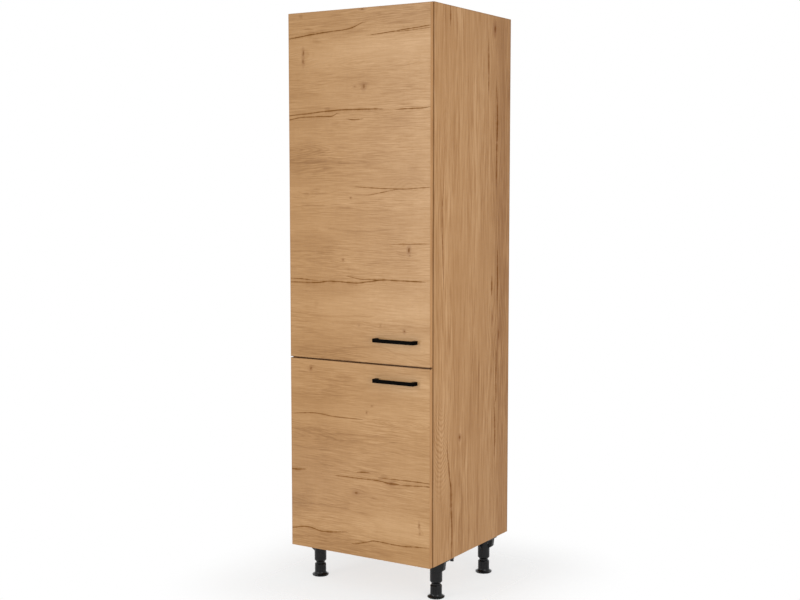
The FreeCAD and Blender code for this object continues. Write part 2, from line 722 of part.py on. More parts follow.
def hinge_arm(z):
    """Channel-shaped arm: two cheeks and a web, with a narrower nose that carries both arm pins."""
    low_x = -INNER_HALF + PLATE_BASE + ARM_PLATE_GAP
    front = FRONT_Y + ARM_FRONT
    back = FRONT_Y + ARM_BACK
    half = ARM_LAYER[1]
    pieces = [block((ARM_TOP_X - ARM_SHEET, front, z - half), (ARM_TOP_X, back, z + half))]
    for low, high in layers(ARM_LAYER):
        pieces.append(block((low_x, front, z + low), (ARM_TOP_X, back, z + high)))
    nose = [(ARM_TOP_X - NOSE_HALF, front + NOSE_ROOT), at_cup(ARM_PIVOT_OUTER), at_cup(ARM_PIVOT_INNER)]
    for low, high in layers(BRACKET_LAYER):
        pieces.append(strap(nose, (NOSE_HALF, NOSE_HALF, NOSE_TIP_HALF), z + low, z + high))
    reach = half + OVERRUN
    screw_hole = ARM_SCREW_RADIUS + FITTING_PLAY
    tools = [
        pin(ARM_PIVOT_OUTER, OUTER_ARM_PIN + PIVOT_PLAY, z - reach, z + reach),
        pin(ARM_PIVOT_INNER, INNER_ARM_PIN + PIVOT_PLAY, z - reach, z + reach),
        rod(screw_hole, (-INNER_HALF, BOSS_Y, z), (ARM_TOP_X + OVERRUN, BOSS_Y, z)),
    ]
    return cut(joined(pieces), tools)


def mounting_plate(z):
    """Winged plate on the side panel with the saddle that the arm straddles and its screw boss."""
    left = -INNER_HALF
    y_mid = FRONT_Y + PLATE_LINE
    wing_half = PLATE_SCREW_SPACING / 2 + PLATE_END_MARGIN
    wing = block(
        (left, y_mid - PLATE_HALF_WIDTH, z - wing_half),
        (left + PLATE_BASE, y_mid + PLATE_HALF_WIDTH, z + wing_half),
    )
    wing = wing.makeFillet(PLATE_CORNER, edges_along(wing, X_AXIS))
    saddle_half = ARM_LAYER[0] - SADDLE_PLAY
    saddle = block(
        (left, FRONT_Y + ARM_FRONT + SADDLE_SETBACK, z - saddle_half),
        (left + SADDLE_TOP, FRONT_Y + ARM_BACK, z + saddle_half),
    )
    web_x = ARM_TOP_X - ARM_SHEET
    boss = rod(BOSS_RADIUS, (left + SADDLE_TOP - BOSS_ROOT, BOSS_Y, z), (web_x, BOSS_Y, z))
    screw_hole = ARM_SCREW_RADIUS + FITTING_PLAY
    tools = [rod(screw_hole, (left + PLATE_BASE, BOSS_Y, z), (web_x + OVERRUN, BOSS_Y, z))]
    for screw_z in (z - PLATE_SCREW_SPACING / 2, z + PLATE_SCREW_SPACING / 2):
        place = (-1, y_mid, screw_z)
        tools.append(across(place, PLATE_SCREW_RADIUS + FITTING_PLAY, OVERRUN, PLATE_BASE + OVERRUN))
    return cut(joined([wing, saddle, boss]), tools)


def hinge_screws(door):
    """Carcass-side screws of a door's hinges: two in each plate and one that holds the arm."""
    left = -INNER_HALF
    seat = left + PLATE_BASE
    solids = [
        screw(PLATE_SCREW_RADIUS, (left - PLATE_SCREW_BITE, y, z), (seat, y, z), PLATE_SCREW_HEAD)
        for _, y, z in plate_screw_places(door)
    ]
    for z in HINGE_HEIGHTS[door]:
        tip = (seat + BOSS_ROOT, BOSS_Y, z)
        solids.append(screw(ARM_SCREW_RADIUS, tip, (ARM_TOP_X, BOSS_Y, z), ARM_SCREW_HEAD))
    return solids


def cup_screws(door):
    """Screws of a door's hinge cups."""
    tip_y = DOOR_BACK_Y - EAR_SCREW_BITE
    seat_y = DOOR_BACK_Y + EAR_THICKNESS
    return [
        screw(EAR_SCREW_RADIUS, (x, tip_y, screw_z), (x, seat_y, screw_z), EAR_SCREW_HEAD)
        for z in HINGE_HEIGHTS[door] for x, screw_z in ear_screw_places(z)
    ]


# Legs

def placed_leg(solid, place):
    """A front right leg's piece, made about its own axis, mirrored into place."""
    side, y, inward = LEG_PLACES[place]
    if side < 0:
        solid = solid.mirror(ORIGIN, X_AXIS)
    if inward < 0:
        solid = solid.mirror(ORIGIN, Y_AXIS)
    solid.translate(Vector(side * LEG_X, y, 0))
    return solid


def turned(edges):
    """Solid of revolution about the leg's axis of a closed run of edges in the X-Z plane."""
    return Part.Face(Part.Wire(edges)).revolve(ORIGIN, Z_AXIS, 360)


def profile_lines(points):
    """Straight edges through (radius, height) points."""
    corners = [Vector(r, 0, z) for r, z in points]
    return [Part.makeLine(a, b) for a, b in zip(corners, corners[1:])]


def leg_bracket():
    """Moulded bracket: screw plate with a corner pad, bevelled tube, ribs and a boxed arm to the side."""
    seat = LEG_SEAT_Z
    half = LEG_PLATE_HALF
    base = block((-half, -LEG_PLATE_SHORT, seat), (half, LEG_PLATE_LONG, BASE_Z))
    base = base.makeFillet(LEG_PLATE_CORNER, edges_along(base, Z_AXIS))
    tube_top = seat + LEG_PLATE / 2
    tube = turned(profile_lines([
        (0, tube_top),
        (LEG_TUBE_RADIUS, tube_top),
        (LEG_TUBE_RADIUS, LEG_TUBE_END + LEG_TUBE_CHAMFER),
        (LEG_TUBE_RADIUS - LEG_TUBE_BEVEL, LEG_TUBE_END),
        (0, LEG_TUBE_END),
        (0, tube_top),
    ]))
    rib = LEG_RIB
    root = LEG_TUBE_RADIUS - LEG_RIB_MARGIN
    deep = seat - LEG_RIB_DROP
    pad_x = half - LEG_PLATE_MARGIN - LEG_PAD_RADIUS
    pad_y = LEG_PLATE_LONG - LEG_PLATE_MARGIN - LEG_PAD_RADIUS
    pad = rod(LEG_PAD_RADIUS, (pad_x, pad_y, seat - LEG_PAD_DROP), (pad_x, pad_y, tube_top))
    near, far = LEG_ARM_SPAN
    arm_end = [(LEG_ARM_REACH, seat), (LEG_ARM_REACH - LEG_ARM_LEAN, seat - LEG_ARM_DROP)]
    arm_root = math.sqrt(root ** 2 - max(abs(near), abs(far)) ** 2)
    cheek = [(arm_root, seat)] + arm_end + [(arm_root, deep)]
    wall = arm_end + [(x - rib, z) for x, z in reversed(arm_end)]
    gusset = [
        (-root, seat),
        (LEG_RIB_MARGIN - half, seat),
        (-LEG_GUSSET_REACH, seat - LEG_GUSSET_DROP),
        (-root, seat - LEG_GUSSET_DROP),
    ]
    back_rib = [(root, seat), (LEG_PLATE_LONG - LEG_RIB_MARGIN, seat), (root, deep)]
    pieces = [
        base,
        tube,
        pad,
        prism([(x, near, z) for x, z in cheek], Y_AXIS * rib),
        prism([(x, far - rib, z) for x, z in cheek], Y_AXIS * rib),
        prism([(x, near, z) for x, z in wall], Y_AXIS * (far - near)),
        prism([(x, -rib / 2, z) for x, z in gusset], Y_AXIS * rib),
        prism([(-rib / 2, y, z) for y, z in back_rib], X_AXIS * rib),
    ]
    bore_low = (0, 0, LEG_TUBE_END - OVERRUN)
    neck_top = LEG_TUBE_END + LEG_NECK_SEAT + LEG_NECK_ROOM
    tools = [
        rod(LEG_STEM_RADIUS + PIVOT_PLAY, bore_low, (0, 0, LEG_STEM_TOP + LEG_STEM_SPARE)),
        rod(LEG_NECK_RADIUS + LEG_NECK_PLAY, bore_low, (0, 0, neck_top)),
    ]
    for x, y in LEG_SCREW_OFFSETS:
        tools.append(rod(LEG_SCREW_RADIUS + FITTING_PLAY, (x, y, seat - OVERRUN), (x, y, BASE_Z + OVERRUN)))
    return cut(joined(pieces), tools)


def adjuster_foot():
    """Turned foot: bell base, fluted collar, neck and the stem that screws into the tube."""
    rim_low, rim_high = LEG_FOOT_RIM
    flare = LEG_FOOT_RADIUS - LEG_COLLAR_RADIUS
    neck_top = LEG_TUBE_END + LEG_NECK_SEAT
    base = profile_lines([
        (0, 0),
        (LEG_FOOT_RADIUS - LEG_FOOT_BEVEL, 0),
        (LEG_FOOT_RADIUS, rim_low),
        (LEG_FOOT_RADIUS, rim_high),
    ])
    bell = Part.Arc(
        Vector(LEG_FOOT_RADIUS, 0, rim_high),
        Vector(LEG_COLLAR_RADIUS + flare * LEG_FLARE_SHARE, 0, LEG_FLARE_MIDDLE),
        Vector(LEG_COLLAR_RADIUS, 0, LEG_FLARE_TOP),
    ).toShape()
    upper = profile_lines([
        (LEG_COLLAR_RADIUS, LEG_FLARE_TOP),
        (LEG_COLLAR_RADIUS, LEG_COLLAR_TOP - LEG_COLLAR_BEVEL),
        (LEG_COLLAR_RADIUS - LEG_COLLAR_BEVEL, LEG_COLLAR_TOP),
        (LEG_NECK_RADIUS, LEG_COLLAR_TOP),
        (LEG_NECK_RADIUS, neck_top),
        (LEG_STEM_RADIUS, neck_top),
        (LEG_STEM_RADIUS, LEG_STEM_TOP),
        (0, LEG_STEM_TOP),
        (0, 0),
    ])
    foot = turned(base + [bell] + upper)
    flute_reach = LEG_COLLAR_RADIUS + LEG_FLUTE_RADIUS / 2
    flutes = []
    for k in range(LEG_FLUTES):
        angle = 2 * math.pi * k / LEG_FLUTES
        x = flute_reach * math.cos(angle)
        y = flute_reach * math.sin(angle)
        top = (x, y, LEG_COLLAR_TOP - LEG_FLUTE_STOP)
        flutes.append(rod(LEG_FLUTE_RADIUS, (x, y, LEG_FLARE_TOP + LEG_FLUTE_START), top))
    return cut(foot, flutes)


def leg_screws():
    """Screws up through the bracket plates into the bottom panel."""
    return [
        screw(LEG_SCREW_RADIUS, (x, y, BASE_Z + LEG_SCREW_BITE), (x, y, LEG_SEAT_Z), LEG_SCREW_HEAD)
        for x, y in LEG_SCREW_PLACES
    ]


# Write every node

os.makedirs("parts", exist_ok=True)
save("left_side_panel", [side_panel(-1)])
save("right_side_panel", [side_panel(1)])
for name, height in CROSS_PANELS.items():
    save(name, [cross_panel(height)])
for name in RAIL_HEIGHTS:
    save(name, [rear_rail(name)])
save("adjustable_shelf", [adjustable_shelf()])
save("back_panel", [back_panel()])
save("cam_locks", [cam_lock(place) for place in CAM_PLACES])
bolt_reach = CAM_INSET - FITTING_PLAY
save("cam_bolts", [across(place, CAM_BOLT_RADIUS, CAM_BOLT_BITE, bolt_reach) for place in CAM_PLACES])
save("dowels", [across(place, DOWEL_RADIUS, DOWEL_BITE, DOWEL_REACH) for place in DOWEL_PLACES])
save("shelf_pins", [shelf_pin(place) for place in PIN_PLACES])
save("door_bumpers", door_bumpers())
for door, heights in HINGE_HEIGHTS.items():
    save(door + "_door", [door_board(door)])
    save(door + "_door_edge_band", [door_edge_band(door)])
    save(door + "_handle", [handle(door)])
    save(door + "_handle_screws", handle_screws(door))
    save(door + "_hinge_cups", [hinge_cup(z) for z in heights])
    save(door + "_hinge_cup_pins", [p for z in heights for p in cup_pins(z)])
    save(door + "_hinge_cup_screws", cup_screws(door))
    save(door + "_hinge_outer_links", [link for z in heights for link in outer_links(z)])
    save(door + "_hinge_inner_links", [inner_link(z) for z in heights])
    save(door + "_hinge_arms", [hinge_arm(z) for z in heights])
    save(door + "_hinge_arm_pins", [p for z in heights for p in arm_pins(z)])
    save(door + "_hinge_plates", [mounting_plate(z) for z in heights])
    save(door + "_hinge_plate_screws", hinge_screws(door))
bracket = leg_bracket()
foot = adjuster_foot()
for place in LEG_PLACES:
    save("leg_bracket_" + place, [placed_leg(bracket.copy(), place)])
    save("leg_foot_" + place, [placed_leg(foot.copy(), place)])
save("leg_screws", leg_screws())
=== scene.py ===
import math
from collections import namedtuple

import bmesh
import bpy
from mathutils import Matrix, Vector


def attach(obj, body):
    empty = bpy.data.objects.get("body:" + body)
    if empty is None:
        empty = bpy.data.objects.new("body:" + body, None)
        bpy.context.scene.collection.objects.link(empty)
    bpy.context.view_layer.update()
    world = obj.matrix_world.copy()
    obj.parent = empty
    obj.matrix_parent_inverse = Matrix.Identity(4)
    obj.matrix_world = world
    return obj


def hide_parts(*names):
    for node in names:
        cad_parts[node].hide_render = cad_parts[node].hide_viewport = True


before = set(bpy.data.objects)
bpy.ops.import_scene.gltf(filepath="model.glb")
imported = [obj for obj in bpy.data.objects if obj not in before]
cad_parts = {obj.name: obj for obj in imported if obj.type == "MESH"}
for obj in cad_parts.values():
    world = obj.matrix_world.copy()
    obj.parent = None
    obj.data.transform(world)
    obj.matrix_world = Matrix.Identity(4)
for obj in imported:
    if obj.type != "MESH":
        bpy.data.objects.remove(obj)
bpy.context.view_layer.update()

MM = 0.001

# Sizes of the unit that the finishes and the small fittings are set out from, in metres
HALF_WIDTH = 0.300
BOARD = 0.016
FRONT_Y = -0.260
DOOR_FRONT_Y = -0.278
DOOR_BACK_Y = -0.262
BACK_Y = 0.306
BASE_Z = 0.140
TOP_Z = 2.090
NICHE_FLOOR_Z = 0.831
DOOR_HALF = 0.298
UPPER_DOOR_SPAN = (0.847, 2.087)
LOWER_DOOR_SPAN = (0.140, 0.843)
DOOR_JOINT_Z = 0.845
BACK_PANEL_MIDDLE_Y = 0.2575
SKIN = 0.00025


class Tree:
    """A node tree written as calls: add() makes any node from its type, settings and sockets."""

    def __init__(self, tree):
        self.tree = tree

    def add(self, kind, settings=None, sockets=None, out=0):
        node = self.tree.nodes.new(kind)
        for key, value in (settings or {}).items():
            if key == "stops":
                self.set_stops(node.color_ramp.elements, value)
            elif key == "points":
                self.set_points(node.mapping, value)
            else:
                setattr(node, key, value)
        for key, value in (sockets or {}).items():
            if isinstance(value, Tone):
                self.tree.links.new(value.socket, node.inputs[key])
            else:
                node.inputs[key].default_value = value
        return Tone(self, node.outputs[out]) if node.outputs else None

    @staticmethod
    def set_stops(elements, stops):
        elements[0].position, elements[1].position = stops[0][0], stops[-1][0]
        ends = [elements[0], elements[1]]
        ends[0].color, ends[1].color = (*stops[0][1], 1), (*stops[-1][1], 1)
        for position, colour in stops[1:-1]:
            elements.new(position).color = (*colour, 1)

    @staticmethod
    def set_points(mapping, points):
        curve = mapping.curves[0]
        mapping.extend = "HORIZONTAL"
        curve.points[0].location, curve.points[-1].location = points[0], points[-1]
        for place in points[1:-1]:
            curve.points.new(*place)
        for point in curve.points:
            point.handle_type = "AUTO_CLAMPED"
        mapping.update()


class Tone:
    """One output socket of a tree; arithmetic on it adds Math nodes."""

    def __init__(self, tree, socket):
        self.tree = tree
        self.socket = socket

    def math(self, operation, first, second=0.0, clamp=False):
        settings = {"operation": operation, "use_clamp": clamp}
        return self.tree.add("ShaderNodeMath", settings, {0: first, 1: second})

    def __add__(self, other):
        return self.math("ADD", self, other)

    def __sub__(self, other):
        return self.math("SUBTRACT", self, other)

    def __rsub__(self, other):
        return self.math("SUBTRACT", other, self)

    def __mul__(self, other):
        return self.math("MULTIPLY", self, other)

    def __truediv__(self, other):
        return self.math("DIVIDE", self, other)

    def __rtruediv__(self, other):
        return self.math("DIVIDE", other, self)

    def __pow__(self, other):
        return self.math("POWER", self, other)

    def __abs__(self):
        return self.math("ABSOLUTE", self)

    __radd__ = __add__
    __rmul__ = __mul__

    def least(self, other):
        return self.math("MINIMUM", self, other)

    def most(self, other):
        return self.math("MAXIMUM", self, other)

    def held(self):
        return self.math("ADD", self, 0.0, clamp=True)

    def over(self, level):
        return self.math("GREATER_THAN", self, level)

    def ramp(self, low, high):
        """0 below low, 1 above high, with a soft step between; low may be the greater."""
        sockets = {0: self, 1: low, 2: high}
        return self.tree.add("ShaderNodeMapRange", {"interpolation_type": "SMOOTHSTEP"}, sockets)


class Finish(Tree):
    """A procedural material on the piece's own coordinates, in metres."""

    def __init__(self, name):
        self.material = bpy.data.materials.new(name)
        self.material.use_nodes = True
        super().__init__(self.material.node_tree)
        self.tree.nodes.clear()
        self.place = self.add("ShaderNodeTexCoord", out="Object")
        self.x = self.add("ShaderNodeSeparateXYZ", sockets={0: self.place})
        parts = self.x.socket.node.outputs
        self.y, self.z = Tone(self, parts[1]), Tone(self, parts[2])

    def noise(self, vector, scale=1.0, detail=2.0, roughness=0.5):
        """Even noise about 0, within -0.5 and 0.5."""
        sockets = {"Vector": vector, "Scale": scale, "Detail": detail, "Roughness": roughness}
        return self.add("ShaderNodeTexNoise", sockets=sockets) - 0.5

    def vector(self, first, second, third=0.0):
        return self.add("ShaderNodeCombineXYZ", sockets={0: first, 1: second, 2: third})

    def stretched(self, sx, sy, sz, shift=0.0):
        """The piece's coordinates, scaled along each axis."""
        sockets = {"Vector": self.place, "Location": (shift, shift, shift), "Scale": (sx, sy, sz)}
        return self.add("ShaderNodeMapping", sockets=sockets)

    def mix(self, factor, first, second):
        first, second = (c if isinstance(c, Tone) else (*c, 1) for c in (first, second))
        return self.add("ShaderNodeMix", {"data_type": "RGBA"}, {0: factor, 6: first, 7: second}, out=2)

    def shades(self, factor, stops):
        return self.add("ShaderNodeValToRGB", {"stops": stops}, {0: factor})

    def relief(self, height, depth, strength=1.0):
        sockets = {"Height": height, "Distance": depth, "Strength": strength}
        return self.add("ShaderNodeBump", sockets=sockets)

    def surface(self, dull=None, **sockets):
        """The material; where dull is 1 it has no shine."""
        named = {key.replace("_", " "): value for key, value in sockets.items()}
        shader = self.add("ShaderNodeBsdfPrincipled", sockets=named)
        if dull is not None:
            flat = self.add("ShaderNodeBsdfPrincipled", sockets={**named, "Specular IOR Level": 0.0})
            shader = self.add("ShaderNodeMixShader", sockets={0: dull, 1: shader, 2: flat})
        self.add("ShaderNodeOutputMaterial", sockets={"Surface": shader})
        return self.material


# Colours are linear
# Oak print's tones from dark to pale; the palest stops are a little whiter, partly painted sheen
OAK_SHADES = (
    (0.10, (0.333, 0.161, 0.052)),
    (0.35, (0.449, 0.237, 0.090)),
    (0.50, (0.507, 0.278, 0.113)),
    (0.65, (0.560, 0.319, 0.139)),
    (0.90, (0.656, 0.396, 0.192)),
)
OAK_PORE = (0.250, 0.112, 0.040)
CRACK_EDGE = (0.260, 0.096, 0.022)
CRACK_CORE = (0.120, 0.040, 0.004)
KNOT_EDGE = (0.290, 0.122, 0.038)
KNOT_CORE = (0.165, 0.062, 0.016)
# Dark brown of glue lines and rims, laid on heavier along seams and gaps as painted shade
GLUE_LINE_AND_SEAM_SHADE = (0.080, 0.022, 0.002)
SIDE_WARMTH = (0.620, 0.200, 0.090)
EDGE_SHADES = ((0.2, (0.405, 0.195, 0.076)), (0.5, (0.570, 0.297, 0.123)), (0.8, (0.685, 0.380, 0.170)))
CHIP_SHADES = ((0.0, (0.200, 0.118, 0.058)), (0.45, (0.420, 0.282, 0.160)), (1.0, (0.600, 0.440, 0.270)))
HARDBOARD_SHADES = (
    (0.2, (0.150, 0.080, 0.038)),
    (0.5, (0.215, 0.122, 0.062)),
    (0.8, (0.290, 0.175, 0.095)),
)
BEECH_SHADES = ((0.2, (0.46, 0.28, 0.15)), (0.8, (0.66, 0.46, 0.29)))
BEECH_FLECK = (0.30, 0.16, 0.08)
BUMPER_SHADES = ((0.2, (0.74, 0.75, 0.74)), (0.8, (0.90, 0.91, 0.90)))
FLOOR_SHADES = ((0.3, (0.94, 0.94, 0.94)), (0.7, (0.97, 0.97, 0.97)))

# How dull the print is, how strongly each kind of board shines, and how deep the print's relief is
OAK_ROUGHNESS = 0.32
DOOR_SHINE = 0.27
SIDE_SHINE = 0.08
EDGE_SHINE = 0.10
OAK_RELIEF = 0.0004

# Noises of the print: cycles a metre along and across the grain, and a step of the seed
DRIFT = (1.6, 6.0, 0.0)
FINE_DRIFT = (14.0, 26.0, 2.5)
BUSY = (2.2, 8.0, 31.0)
PORES = (60.0, 1300.0, 23.0)
BREAKS = (42.0, 9.0, 13.0)
LAYER_STEP = 3.1
LAYER_ROUGHNESS = 0.58

# How far drift, fine drift and dashes carry each kind of mark aside, in metres
GRAIN_BY_DRIFT, GRAIN_BY_FINE = 0.030, 0.0035
LINE_BY_FINE, LINE_BY_DASHES = 0.0040, 0.0018
VEIN_BY_FINE, VEIN_BY_DASHES = 0.0060, 0.0080
KNOT_BY_FINE, KNOT_BY_DASHES = 0.010, 0.005
SMUDGE_ALONG_BY_FINE, SMUDGE_BY_FINE, SMUDGE_BY_DASHES = 0.060, 0.020, 0.030
LIGHT_ALONG_BY_DRIFT, LIGHT_BY_DRIFT = 0.20, 0.06

# The same for the rings of a heart, in half sizes of the heart
HEART_BY_DRIFT, HEART_BY_FINE = 0.20, 0.08

# How much each kind of mark darkens or lightens the tone
HEART_DEPTH = 0.20
VEIN_DEPTH = 0.16
SMUDGE_DEPTH = 0.26
LIGHT_LIFT = 0.22

# Dashes are stronger in some places than in others: the noise's soft step, least strength and span
BUSY_STEP = 0.16
BUSY_LEAST = 0.55
BUSY_SPAN = 0.9

# Pores: soft step of their noise, share of them that shows, how well they cover and how deep they lie
PORE_STEP = (0.08, 0.24)
PORE_SHARE = 0.55
PORE_COVER = 0.38
PORE_SINK = 0.5

# Lines: how far off a line can run, its taper as a share of the board, and the least width it can have
CRACK_WINDOW = 0.12
LINE_TAPER = 0.05
HAIR = 1e-5

# Cracks and veins fade between these distances, in half widths of the line; breaks narrow a crack
VEIN_FADE = (1.5, 0.1)
CRACK_HALO = (5.5, 0.8)
CRACK_BODY = (1.25, 0.30)
CRACK_BARE = (3.0, 0.4)
CRACK_HALO_COVER = 0.32
CRACK_SINK = 1.6
BREAK_STRENGTH = 2.9
BREAK_LEAST = 0.15

# Knots: size of the halo and of the pushed grain in half sizes of the knot, and how well they cover
KNOT_HALO = 2.6
KNOT_HALO_COVER = 0.55
KNOT_COVER = 0.75
KNOT_REACH_ALONG = 6
KNOT_REACH_ACROSS = 3
KNOT_PUSH = 1.6

# Hearts: how pointed the rings are, how sharp their lines, and where they fade, in half sizes
HEART_POINT = 1.45
HEART_SHARPNESS = 1.6
HEART_FADE = (1.25, 0.75)
HEART_END = (0.25, 0.60)
HEART_SPREAD = (0.32, 0.16)

# Rise of the dashes, and what dashes and sunk places do to the gloss
DASH_RISE = 0.35
DASH_GLOSS = 0.12
SUNK_DULLNESS = 0.20

# Raw chipboard: flakes and dust a metre, and how much duller than the print it is
FLAKES = 420.0
DUST = 1500.0
CHIP_DULLNESS = 0.4

# Dark rims and glue lines, partly painted shade of the seams and gaps: soft steps in metres from the
# edge, and how strongly each shows
RIM_STEP = (-0.0045, -0.0025)
BACK_RIM_STEP = (-0.0080, -0.0050)
BAND_STEP = (0.0040, 0.0020)
ARRIS_STEP = (0.0070, 0.0040)
JOINT_STEP = (0.006, 0.003)
DOOR_RIM_SHADE = 0.13
SIDE_RIM = 0.15
SIDE_GLUE_AND_SEAM_SHADE = 0.35
EDGE_GLUE_AND_SEAM_SHADE = 0.25

# The side panel is a little warmer than the doors, and darker towards its back edge
SIDE_WARMTH_SHARE = 0.08
BACK_SHADE_Y = (0.185, 0.245)
BACK_SHADE = -0.20

# Layers of the oak's tone: cycles a metre along and across the grain, detail, and share in the tone
DOOR_LAYERS = {
    "bands": (0.6, 10.0, 1.0, 0.30),
    "blotches": (5.0, 12.0, 1.5, 0.27),
    "rings": (3.0, 95.0, 2.0, 0.07),
    "dashes": (15.0, 310.0, 2.0, 0.88),
    "flecks": (75.0, 34.0, 2.0, 0.10),
}
SIDE_LAYERS = {
    "bands": (0.4, 9.0, 1.0, 0.28),
    "blotches": (2.4, 14.0, 1.5, 0.18),
    "rings": (1.4, 55.0, 2.0, 0.08),
    "dashes": (8.0, 165.0, 2.0, 1.20),
    "flecks": (60.0, 34.0, 2.0, 0.08),
}

# What a board's print shows, with painted light among its pale places, where along the grain it ends,
# and how dark its cracks and knots are
Figure = namedtuple("Figure", "ends dark cracks veins knots smudges lights hearts")

# Cracks and veins, which are soft dark lines: points (along, across) in mm, then the half width in mm at
# the widest. Knots, smudges and pale places, of which some are painted light: along, across, half length
# and half height in mm, and strength. Hearts, the pointed rings of flat-sawn figure: the same four sizes,
# how many rings, strength, and -1 or 1 where only the end at the lower or higher place along the grain
# shows
UPPER_DOOR = Figure(
    ends=(-HALF_WIDTH, HALF_WIDTH),
    dark=0.80,
    cracks=(
        (((-300, 1997), (-235, 2003), (-165, 2010), (-80, 2015)), 2.0),
        (((-90, 2014), (-35, 2019), (25, 2037)), 1.5),
        (((65, 1992), (165, 2000), (300, 2010)), 1.2),
        (((150, 1996), (235, 1999), (300, 2002)), 0.7),
        (((-300, 1723), (-130, 1735), (-70, 1738), (95, 1736)), 1.5),
        (((-300, 1708), (-220, 1717), (-120, 1717), (-85, 1727)), 1.5),
        (((-45, 1706), (-15, 1703), (20, 1705)), 1.6),
        (((165, 1733), (235, 1734), (300, 1738)), 1.2),
        (((0, 1468), (90, 1463), (170, 1460), (300, 1467)), 0.9),
        (((40, 1438), (110, 1450), (175, 1460)), 0.8),
        (((140, 1270), (220, 1271), (300, 1274)), 0.8),
        (((-300, 1136), (-240, 1134), (-180, 1131)), 1.4),
        (
            ((-300, 1121), (-170, 1124), (-115, 1131), (-15, 1128), (40, 1134), (120, 1144), (265, 1142)),
            1.6,
        ),
        (((-40, 1150), (10, 1143), (70, 1142), (125, 1144)), 1.2),
    ),
    veins=(
        (((-300, 1557), (-200, 1556), (-90, 1552), (40, 1550), (120, 1553)), 4.5),
        (((-260, 1449), (-215, 1440), (-150, 1443), (-95, 1452)), 4.0),
        (((-290, 1431), (-240, 1425), (-190, 1430)), 3.5),
        (((-60, 1448), (20, 1440), (85, 1452)), 3.0),
        (((60, 1885), (150, 1880), (260, 1888)), 3.0),
        (((-300, 1395), (-170, 1400), (-20, 1392)), 3.5),
        (((-120, 1318), (10, 1310), (150, 1322)), 3.5),
        (((-300, 1010), (-120, 1004), (60, 1012)), 4.0),
        (((-60, 893), (90, 905), (180, 884), (300, 893)), 3.5),
    ),
    knots=(
        (-234, 1942, 4, 13, 0.9), (-233, 1915, 4, 12, 0.8), (26, 1816, 6, 10, 0.7),
        (212, 1250, 5, 11, 1.0), (-64, 1208, 4, 5, 0.7), (192, 966, 4, 5, 1.0),
        (-30, 1429, 4, 3, 0.8), (215, 1232, 3, 3, 0.7), (22, 2082, 9, 3, 0.8), (-12, 1817, 5, 3, 0.5),
        (5, 978, 6, 4, 0.3), (95, 982, 3, 4, 0.4),
    ),
    smudges=(
        (-252, 2069, 14, 10, 0.7), (-171, 1983, 26, 14, 0.7), (-130, 1743, 24, 8, 0.8),
        (-98, 1692, 22, 12, 0.5), (224, 1527, 26, 6, 0.5), (-50, 1174, 24, 12, 0.7),
        (-226, 1928, 12, 34, 0.5), (20, 1824, 20, 22, 0.5), (-205, 2025, 26, 12, 0.5),
        (-10, 2006, 70, 9, 0.5), (-140, 1560, 70, 12, 0.5), (-190, 1448, 26, 12, 0.6),
        (-230, 1436, 18, 10, 0.5), (-170, 1095, 30, 26, 0.5), (-185, 1060, 20, 40, 0.4),
        (-40, 1300, 90, 10, 0.3), (-240, 1550, 150, 100, 0.6), (-230, 1730, 160, 60, 0.35),
        (-215, 1250, 190, 80, 0.6), (-190, 1135, 240, 95, 0.65), (-260, 1785, 120, 50, 0.4),
        (-200, 890, 260, 80, 0.6),
    ),
    # Pale places of the print and painted light: the tall one along the right edge lightens the side where
    # the light falls brighter, and the one by the handle lifts the handle's shadow
    lights=(
        (110, 1920, 400, 90, 0.95), (250, 1920, 120, 70, 0.4), (190, 1580, 160, 80, 0.35),
        (220, 1400, 130, 80, 0.35), (130, 1045, 380, 75, 0.8), (250, 1040, 130, 60, 0.9),
        (290, 1450, 90, 720, 0.55), (30, 1680, 130, 50, 0.4), (200, 915, 230, 80, 0.95),
    ),
    hearts=(
        (70, 846, 330, 62, 9, 0.45), (-330, 1600, 260, 40, 7, 0.7), (90, 1895, 240, 34, 6, 0.5),
        (215, 1464, 100, 46, 4, 0.35), (-150, 870, 240, 22, 5, 0.6),
    ),
)
